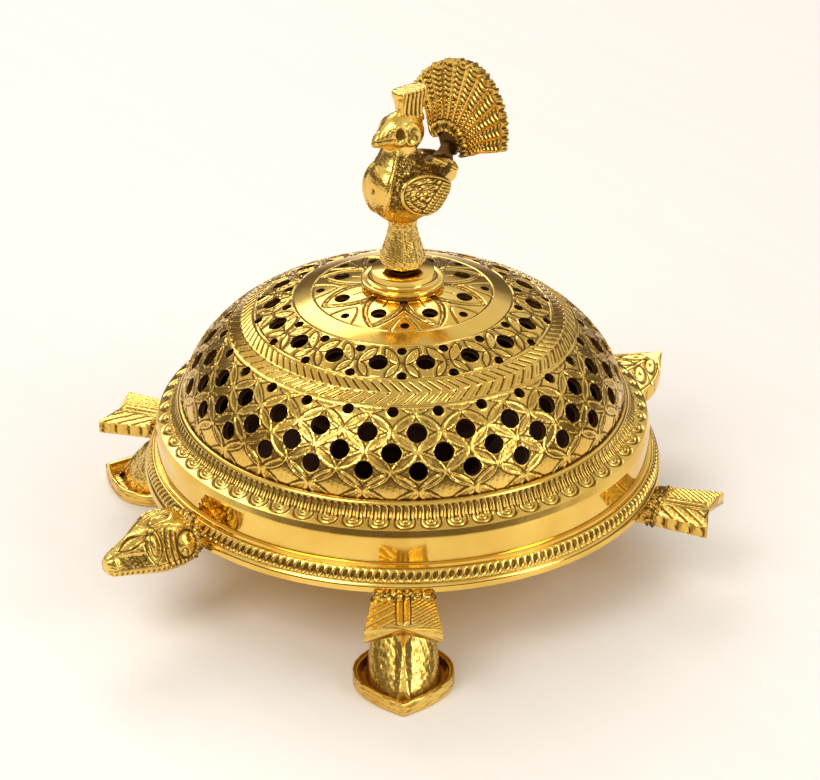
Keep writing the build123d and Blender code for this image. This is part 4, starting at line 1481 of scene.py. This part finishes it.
# Wing and saddle: outline in Y and Z
WING = [
    (-7.3, 113.6), (-6.6, 110.0), (-3.3, 106.6), (2.1, 104.3), (6.8, 105.2), (10.2, 109.2), (11.5, 112.8),
    (7.4, 115.4), (2.6, 117.5), (-2.6, 117.8), (-6.2, 116.4),
]
SADDLE = [(4.0, 112.0), (4.0, 118.4), (9.0, 119.4), (14.6, 117.6), (16.9, 114.4), (16.0, 110.9), (11.0, 109.2)]
# The same forms' thickness: distance in X, share of the outline
WING_DEPTHS = ((4, 1.0), (7.9, 1.0), (8.9, 0.93), (9.5, 0.78), (9.8, 0.5))
SADDLE_DEPTHS = ((1.6, 0.97), (2.0, 1.0), (3.8, 1.0), (4.2, 0.95))


def oval_form(sections, along, steps, power=2.0, count=56):
    """Closed form of eased ovals along Y or up Z."""
    places = np.linspace(sections[0][0], sections[-1][0], steps)
    middle, wide, high = (through(sorted(sections), places, column) for column in range(3))
    turns = np.linspace(0, tau, count, endpoint=False)
    bend = [np.sign(f) * np.abs(f) ** (2 / power) for f in (np.cos(turns), np.sin(turns))]
    across = np.outer(np.maximum(wide, 0.15), bend[0])
    other = middle[:, None] + np.outer(np.maximum(high, 0.15), bend[1])
    fixed = np.repeat(places[:, None], count, axis=1)
    return skin(np.stack((across, fixed, other) if along == "Y" else (across, other, fixed), axis=2))


def side_form(loop, depths, hand):
    """Closed form of a side outline in Y and Z, at distances in X with its own shares."""
    middle = loop.mean(axis=0)
    flats = ((hand * x, middle + (loop - middle) * share) for x, share in depths)
    return skin([np.column_stack([np.full(len(flat), x), flat]) for x, flat in flats])


def fused(parts, voxel, easing):
    """Points and faces of one even skin round overlapping closed parts."""
    rough = mesh_object("rough_skin", *joined(parts))
    remesh = rough.modifiers.new("Skin", "REMESH")
    remesh.mode = "VOXEL"
    remesh.voxel_size = voxel * MM
    rough.modifiers.new("Ease", "SMOOTH").iterations = easing
    mesh, old = evaluated_mesh(rough), rough.data
    bpy.data.objects.remove(rough)
    bpy.data.meshes.remove(old)
    flat = np.empty(len(mesh.vertices) * 3, dtype=np.float32)
    mesh.vertices.foreach_get("co", flat)
    faces = [tuple(face.vertices) for face in mesh.polygons]
    bpy.data.meshes.remove(mesh)
    groups = [np.array([face for face in faces if len(face) == size], int).reshape(-1, size) for size in (4, 3)]
    return flat.reshape(-1, 3).astype(float) / MM, groups


def relaxed(points, quads, rounds):
    """Points moved towards their neighbours' middle, round after round."""
    pairs = np.vstack([quads[:, [i, (i + 1) % 4]] for i in range(4)])
    number = np.maximum(np.bincount(pairs.ravel(), minlength=len(points)), 1)
    for _ in range(rounds):
        total = np.zeros_like(points)
        for axis in range(3):
            total[:, axis] = np.bincount(pairs[:, 0], points[pairs[:, 1], axis], len(points))
            total[:, axis] += np.bincount(pairs[:, 1], points[pairs[:, 0], axis], len(points))
        points = 0.4 * points + 0.6 * total / number[:, None]
    return points


def inside_distance(flat, loop):
    """Distance of flat points from a closed line, positive inside it."""
    best = np.full(len(flat), 1e9)
    inside = np.zeros(len(flat), bool)
    for a, b in zip(loop, np.roll(loop, -1, axis=0)):
        edge = b - a
        share = np.clip((flat - a) @ edge / (edge @ edge), 0, 1)
        best = np.minimum(best, np.hypot(*(flat - a - share[:, None] * edge).T))
        crosses = (a[1] > flat[:, 1]) != (b[1] > flat[:, 1])
        at = a[0] + (flat[:, 1] - a[1]) / (edge[1] if edge[1] else 1e-9) * edge[0]
        inside ^= crosses & (flat[:, 0] < at)
    return np.where(inside, best, -best)


def stripe(value, spacing, width):
    """Grooves at even spacing, 1 in the middle of a groove."""
    return bump(((value / spacing + 0.5) % 1.0 - 0.5) * spacing, width)

def bird_carve(points, normals, wing):
    """Lift and shade of the peacock's feathers, eyes, beak, crest and breast."""
    side, y, z = np.abs(points[:, 0]), points[:, 1], points[:, 2]
    flank = ramp(np.abs(normals[:, 0]), 0.30, 0.60)
    rough = speckle(points, 0.55, 101, 24)
    coarse = speckle(points, 1.3, 103)
    lift = 0.04 * rough
    shade = 0.14 + 0.20 * rough + 0.10 * coarse
    depth = inside_distance(np.column_stack([y, z]), wing)
    on_wing = flank * ramp(depth, 0.0, 0.3) * (side > 6.6)
    over = ((y - 2.1) * 5.3 - (z - 109.6) * 5.5) / 7.64
    along = ((y - 2.1) * 5.5 + (z - 109.6) * 5.3) / 7.64
    slanting = stripe(0.5 * along - 0.75 * over + 0.3 * coarse, 1.05, 0.36)
    front = np.maximum(0.9 * stripe(depth - 0.5, 1.9, 0.40), slanting)
    rear = np.maximum(stripe(over - 0.2, 2.3, 0.42), 0.95 * stripe(along - 0.35 * over, 0.98, 0.30))
    feathers = np.where(over < 0, front, rear)
    feathers = highest(feathers, bump(depth - 0.75, 0.42), bump(over, 0.5)) * ramp(depth, 0.35, 0.7)
    lift = lift - 0.46 * on_wing * feathers
    shade = np.where(on_wing > 0.3, feathers * 0.98, shade)

    level = np.clip(z, 100, 128)
    middle = through([(100, 0.0), (107, -1.6), (113, -1.6), (123, -1.1), (128, 0.0)], level)
    bearing = np.degrees(np.arctan2(y - middle, side + 1e-6))
    edge = through([(100, -66.0), (107, -60.0), (113, -55.0), (123, -47.0), (128, -45.0)], level)
    breast = ramp(z, 103.0, 106.0) * (1 - ramp(z, 123.2, 124.4)) * (on_wing < 0.2)
    ridge = bump(bearing - edge, 6.5) * breast
    panel = (bearing < edge) * breast
    lift = lift + 0.80 * ridge - 0.25 * panel * bump(bearing + 90, 30.0)
    shade = np.where(panel > 0.5, np.clip(0.05 + 0.12 * coarse, 0, 1), shade)
    neck = (bearing > edge + 5) * (on_wing < 0.2) * ramp(z, 105.5, 109.0) * (1 - ramp(z, 122.0, 124.0))
    neck = neck * (1 - ramp(y, 6.0, 8.0))
    lift = lift + neck * 0.15 * speckle(points, 0.42, 107, 26)
    shade = np.maximum(shade, neck * np.clip(0.76 + 0.35 * rough, 0, 1))
    shade = shade * (1 - 0.95 * ridge)
    pit = bump(np.hypot(points[:, 0], z - 112.6), 1.0) * (y < -9)
    lift, shade = lift - 0.7 * pit, np.maximum(shade, pit)

    head = ramp(z, 123.6, 124.4) * (1 - ramp(z, 132.6, 133.4))
    first = np.hypot((y + 3.7) / 1.7, (z - 129.0) / 2.8)
    second = np.hypot((y + 0.2) / 2.3, (z - 128.4) / 2.9)
    rings = np.maximum(bump(first - 1.0, 0.26), bump(second - 1.0, 0.26)) * flank * head
    hollow = np.maximum(1 - ramp(first, 0.45, 0.85), 0.55 * (1 - ramp(second, 0.5, 0.85))) * flank * head
    turn = np.arctan2(z - 128.4, y + 0.2)
    curl = (0.5 + 0.5 * np.sin(4 * turn + 5.5 * second)) * (second < 0.9) * flank * head
    lift = lift + 0.32 * rings - 0.85 * hollow - 0.22 * curl
    shade = highest(shade, hollow * 1.1, 0.8 * curl) * (1 - 0.9 * rings)
    beak = (1 - ramp(y, -6.4, -5.6)) * head
    hatch = stripe(y * 0.8 - z * 0.6, 0.62, 0.26) * beak
    mouth = bump(z - (127.25 + 0.11 * (y + 10.2)), 0.40) * (1 - ramp(y, -5.4, -4.6)) * ramp(-y, 4.6, 5.2) * flank
    lift = lift - 0.07 * hatch - 0.50 * mouth * head
    shade = highest(shade, 0.42 * hatch, mouth * head)

    crest = ramp(z, 131.6, 132.6) * (1 - ramp(np.abs(normals[:, 2]), 0.55, 0.8))
    flutes = stripe(y - 0.25 + 0.05 * (z - 136) * (y - 2.6) / 4, 1.45, 0.62) * ramp(y, -1.4, -0.8)
    lift = lift - 0.55 * crest * flutes
    shade = np.maximum(shade, crest * flutes * 0.98)
    shade = np.where(z > 139.6, 0.12 + 0.1 * rough, shade)

    saddle = (y > 6.0) * (z > 113.5) * (on_wing < 0.3) * (z < 121)
    shade = np.maximum(shade, saddle * np.clip(0.55 + 0.6 * normals[:, 2] + 0.3 * rough, 0, 1))
    bar = bump(z - (124.0 - 0.62 * y), 0.9) * saddle * flank
    shade = shade * (1 - 0.8 * bar)
    lift = lift + 0.3 * bar
    # Painted shade: the bell's foot and the boss under it are made fully dark, where they meet the collar in shade
    foot = 1 - ramp(z, 87.7, 88.3)
    marks = stripe(z * 0.8 + y * 0.7, 0.7, 0.3) * (z < 99) * (z > 88.4)
    corner = (np.degrees(np.arctan2(y, points[:, 0])) - BELL_TURN + BELL_STEP / 2) % BELL_STEP - BELL_STEP / 2
    bell = ramp(z, 88.4, 90.0) * (1 - ramp(z, 102.0, 105.0))
    lift = lift - 0.06 * marks + bell * (0.30 * bump(corner, 5.0) - 0.12)
    return lift, highest(shade, foot, 0.30 * marks, bell * (0.42 + 0.30 * rough) * (1 - bump(corner, 5.0)))


class BURNER_OT_peacock(bpy.types.Operator):
    """Cast peacock that crowns the lid"""

    bl_idname = "burner.peacock"
    bl_label = "Peacock"

    def execute(self, context):
        turns = np.radians(BELL_TURN + BELL_STEP * np.arange(8))
        bell = []
        for z, radius in BELL:
            line = smooth_loop(radius * 1.03 * np.column_stack([np.cos(turns), np.sin(turns)]), 96, 0.3)
            bell.append(np.column_stack([line, np.full(len(line), z)]))
        around = np.linspace(0, tau, 40, endpoint=False)
        boss = [[(BOSS_RADIUS * cos(t), BOSS_RADIUS * sin(t), z) for t in around] for z in BOSS_HEIGHTS]
        wing, saddle = smooth_loop(WING, 80, 1.2), smooth_loop(SADDLE, 60, 0.8)
        parts = [
            skin(bell), skin(boss), oval_form(TORSO, "Y", 40), oval_form(NECK, "Z", 24),
            oval_form(BEAK_AND_HEAD, "Y", 40), oval_form(CREST, "Z", 20, power=3.2),
        ]
        for hand in (-1, 1):
            parts += [side_form(wing, WING_DEPTHS, hand), side_form(saddle, SADDLE_DEPTHS, hand)]
        points, groups = fused(parts, voxel=0.26, easing=4)
        normals = mesh_normals(points, groups)
        # Painted shade: points lying below the middle of their neighbours, such as where the wing meets the body, are
        # made darker by how deep they sit
        hollow = np.einsum("ij,ij->i", relaxed(points, groups[0], 10) - points, normals)
        lift, shade = bird_carve(points, normals, wing)
        shade = np.clip(np.maximum(shade, np.clip(hollow * 5.5, 0, 1)), 0, 1)
        piece = mesh_object("peacock_cast", points + normals * lift[:, None], groups, shade)
        finish_piece(piece, "lid", "peacock", material("cast_brass"))
        return {"FINISHED"}


# ------------------------------------------------------------------ tail fan
FAN_HUB = np.array([0.0, 16.3, 118.3])
FAN_AXIS, FAN_SPREAD, FAN_LENGTH, FAN_ROOT = 75.0, 122.0, 27.1, 5.3
FAN_LEAN, FAN_TURN = radians(9.5), radians(7.0)
FAN_RIBS, FAN_SWINGS, FRONT_STEPS, BACK_STEPS = 11, 250, 96, 28
# Web that joins the fan to its pin: rise, half width; tang in the bird's back: Y, low, high
FAN_WEB = ((-1.0, 2.4), (1.0, 3.4), (3.2, 4.6), (5.9, 3.2))
FAN_TANG = ((10.0, 113.2, 117.0), (13.8, 113.2, 118.6), (15.2, 113.2, 120.6), (16.9, 113.4, 120.8))


def fan_place(*distances):
    """Points of the fan's leaning sheet from side, rise and depth; depth is towards the peacock's head."""
    right = np.array([cos(FAN_TURN), sin(FAN_TURN), 0.0])
    up = np.array([-sin(FAN_TURN) * sin(FAN_LEAN), cos(FAN_TURN) * sin(FAN_LEAN), cos(FAN_LEAN)])
    return placed((right, up, np.cross(right, up)), distances, FAN_HUB)


def fan_relief(far, swing, outer):
    """Height and shade of the fan's ribs, rungs and beaded inner arch."""
    sector = (swing / FAN_SPREAD + 0.5) * FAN_RIBS
    width = np.radians(FAN_SPREAD / FAN_RIBS) * far
    rib = bump(((sector + 0.5) % 1.0 - 0.5) * width, 0.40 + 0.012 * far)
    rungs = 1 - stripe(far + 1.0 * (1 - (2 * (sector % 1.0 - 0.5)) ** 2), 1.5, 0.62)
    brick = far + 0.6 * np.floor(sector * 2 % 2)
    half = np.abs((sector * 2 + 0.5) % 1.0 - 0.5) * width / 2
    scales = (1 - stripe(brick, 1.2, 0.42)) * (1 - 0.8 * bump(half, 0.35))
    pits = np.where(1 - ramp(far, 13.5, 15.5) > 0.5, scales, rungs)
    pits = pits * ramp(far, 8.4, 9.0) * (1 - ramp(far - outer, -1.1, -0.6)) * (1 - rib)
    bead = bump(far - 6.9, 1.7)
    flute = stripe(swing, 7.5, 2.4)
    lift = 0.74 * rib - 0.36 * pits + bead * (0.55 - 0.35 * flute)
    shade = np.maximum(0.80 * pits, bead * (0.6 + 0.4 * flute))
    return lift, np.maximum(shade * (1 - 0.8 * rib * (far > 8.6)), bump(far - 8.7, 0.5))


class BURNER_OT_fan(bpy.types.Operator):
    """Ribbed tail fan pinned to the peacock's back"""

    bl_idname = "burner.fan"
    bl_label = "Tail fan"

    def execute(self, context):
        front, back = np.linspace(0, 1, FRONT_STEPS), np.linspace(1, 0, BACK_STEPS)
        face = np.concatenate([np.ones(FRONT_STEPS), np.zeros(3), np.full(BACK_STEPS, -1.0), np.zeros(3)])
        level = face.copy()
        level[face == 0] = 0.6, 0.0, -0.6, -0.6, 0.0, 0.6
        rings, shades = [], []
        for swing in np.linspace(-FAN_SPREAD / 2, FAN_SPREAD / 2, FAN_SWINGS):
            outer = FAN_LENGTH * (1 - 0.21 * abs(2 * swing / FAN_SPREAD) ** 1.4)
            lobe = ((swing / FAN_SPREAD + 0.5) * 2 * FAN_RIBS) % 1.0
            outer -= 0.9 * abs(2 * lobe - 1) ** 2.0 + 0.25 * sin(swing * 1.7)
            span = outer - FAN_ROOT
            far = np.concatenate([FAN_ROOT + span * front, [outer] * 3, FAN_ROOT + span * back, [FAN_ROOT] * 3])
            lift, shade = fan_relief(far, np.full(len(far), swing), outer)
            edge = 0.35 * ramp(far - outer, -1.6, -0.9)
            depth = level + face * np.where(face > 0, lift + edge, 0.5 * lift)
            rim = np.clip(0.55 + 0.35 * np.sin(swing * 3.1), 0, 1)
            shades.append(np.where(face == 0, rim, np.where(face < 0, 0.6 * shade + 0.2, shade)))
            angle = np.radians(FAN_AXIS + swing * (1 + 0.30 * (1 - ramp(far, 5.0, 13.0))))
            rings.append(fan_place(far * np.cos(angle), far * np.sin(angle), depth))
        web = [fan_place([-w, w, w, -w], [rise] * 4, [0.1, 0.1, -0.9, -0.9]) for rise, w in FAN_WEB]
        tang = [[(-1.35, y, low), (1.35, y, low), (1.35, y, high), (-1.35, y, high)] for y, low, high in FAN_TANG]
        points, groups = joined([skin(rings), skin(web), skin(tang)])
        fan = np.concatenate([*shades, [0.6, 0.6]])
        # Painted shade: the web, which sits back inside the fan's arch, and the tang in the bird's back are made nearly
        # fully dark
        shades = np.clip(np.r_[fan, np.full(len(points) - len(fan), 0.95)], 0, 1)
        piece = mesh_object("peacock_fan_cast", points, groups, shades, sharp=50.0)
        finish_piece(piece, "lid", "peacock_fan", material("cast_brass"))
        return {"FINISHED"}


# ------------------------------------------------------------------ fittings that keep their CAD form
FITTINGS = ("finial_washer", "finial_nut", "finial_stud", "fan_rivet")


class BURNER_OT_fittings(bpy.types.Operator):
    """Nut, washer and stud of the finial and the fan's rivet"""

    bl_idname = "burner.fittings"
    bl_label = "Fittings"

    def execute(self, context):
        for node in FITTINGS:
            for place in bpy.data.objects[node].material_slots:
                place.material = material("fastener_brass")
        return {"FINISHED"}


# ------------------------------------------------------------------ add-on
class BURNER_PT_panel(bpy.types.Panel):
    """Sidebar panel of the incense burner"""

    bl_idname = "BURNER_PT_panel"
    bl_label = "Turtle incense burner"
    bl_space_type = "VIEW_3D"
    bl_region_type = "UI"
    bl_category = "Burner"

    def draw(self, context):
        layout = self.layout
        for settings in (sizes(), finish()):
            box = layout.box()
            for name in settings.bl_rna.properties.keys():
                if name not in {"rna_type", "name"}:
                    box.prop(settings, name)
        column = layout.column(align=True)
        for operator in PIECES:
            column.operator(operator.bl_idname)


PIECES = (
    BURNER_OT_stage,
    BURNER_OT_dome,
    BURNER_OT_flange,
    BURNER_OT_base,
    BURNER_OT_limbs,
    BURNER_OT_cup,
    BURNER_OT_finial,
    BURNER_OT_peacock,
    BURNER_OT_fan,
    BURNER_OT_fittings,
)
CLASSES = (BURNER_PG_sizes, BURNER_PG_finish, *PIECES, BURNER_PT_panel)


def register():
    for each in CLASSES:
        bpy.utils.register_class(each)
    bpy.types.Scene.burner_sizes = PointerProperty(type=BURNER_PG_sizes)
    bpy.types.Scene.burner_finish = PointerProperty(type=BURNER_PG_finish)


def unregister():
    del bpy.types.Scene.burner_finish
    del bpy.types.Scene.burner_sizes
    for each in reversed(CLASSES):
        bpy.utils.unregister_class(each)


def main():
    register()
    for operator in PIECES:
        group, name = operator.bl_idname.split(".")
        getattr(getattr(bpy.ops, group), name)()


if __name__ == "__main__":
    main()
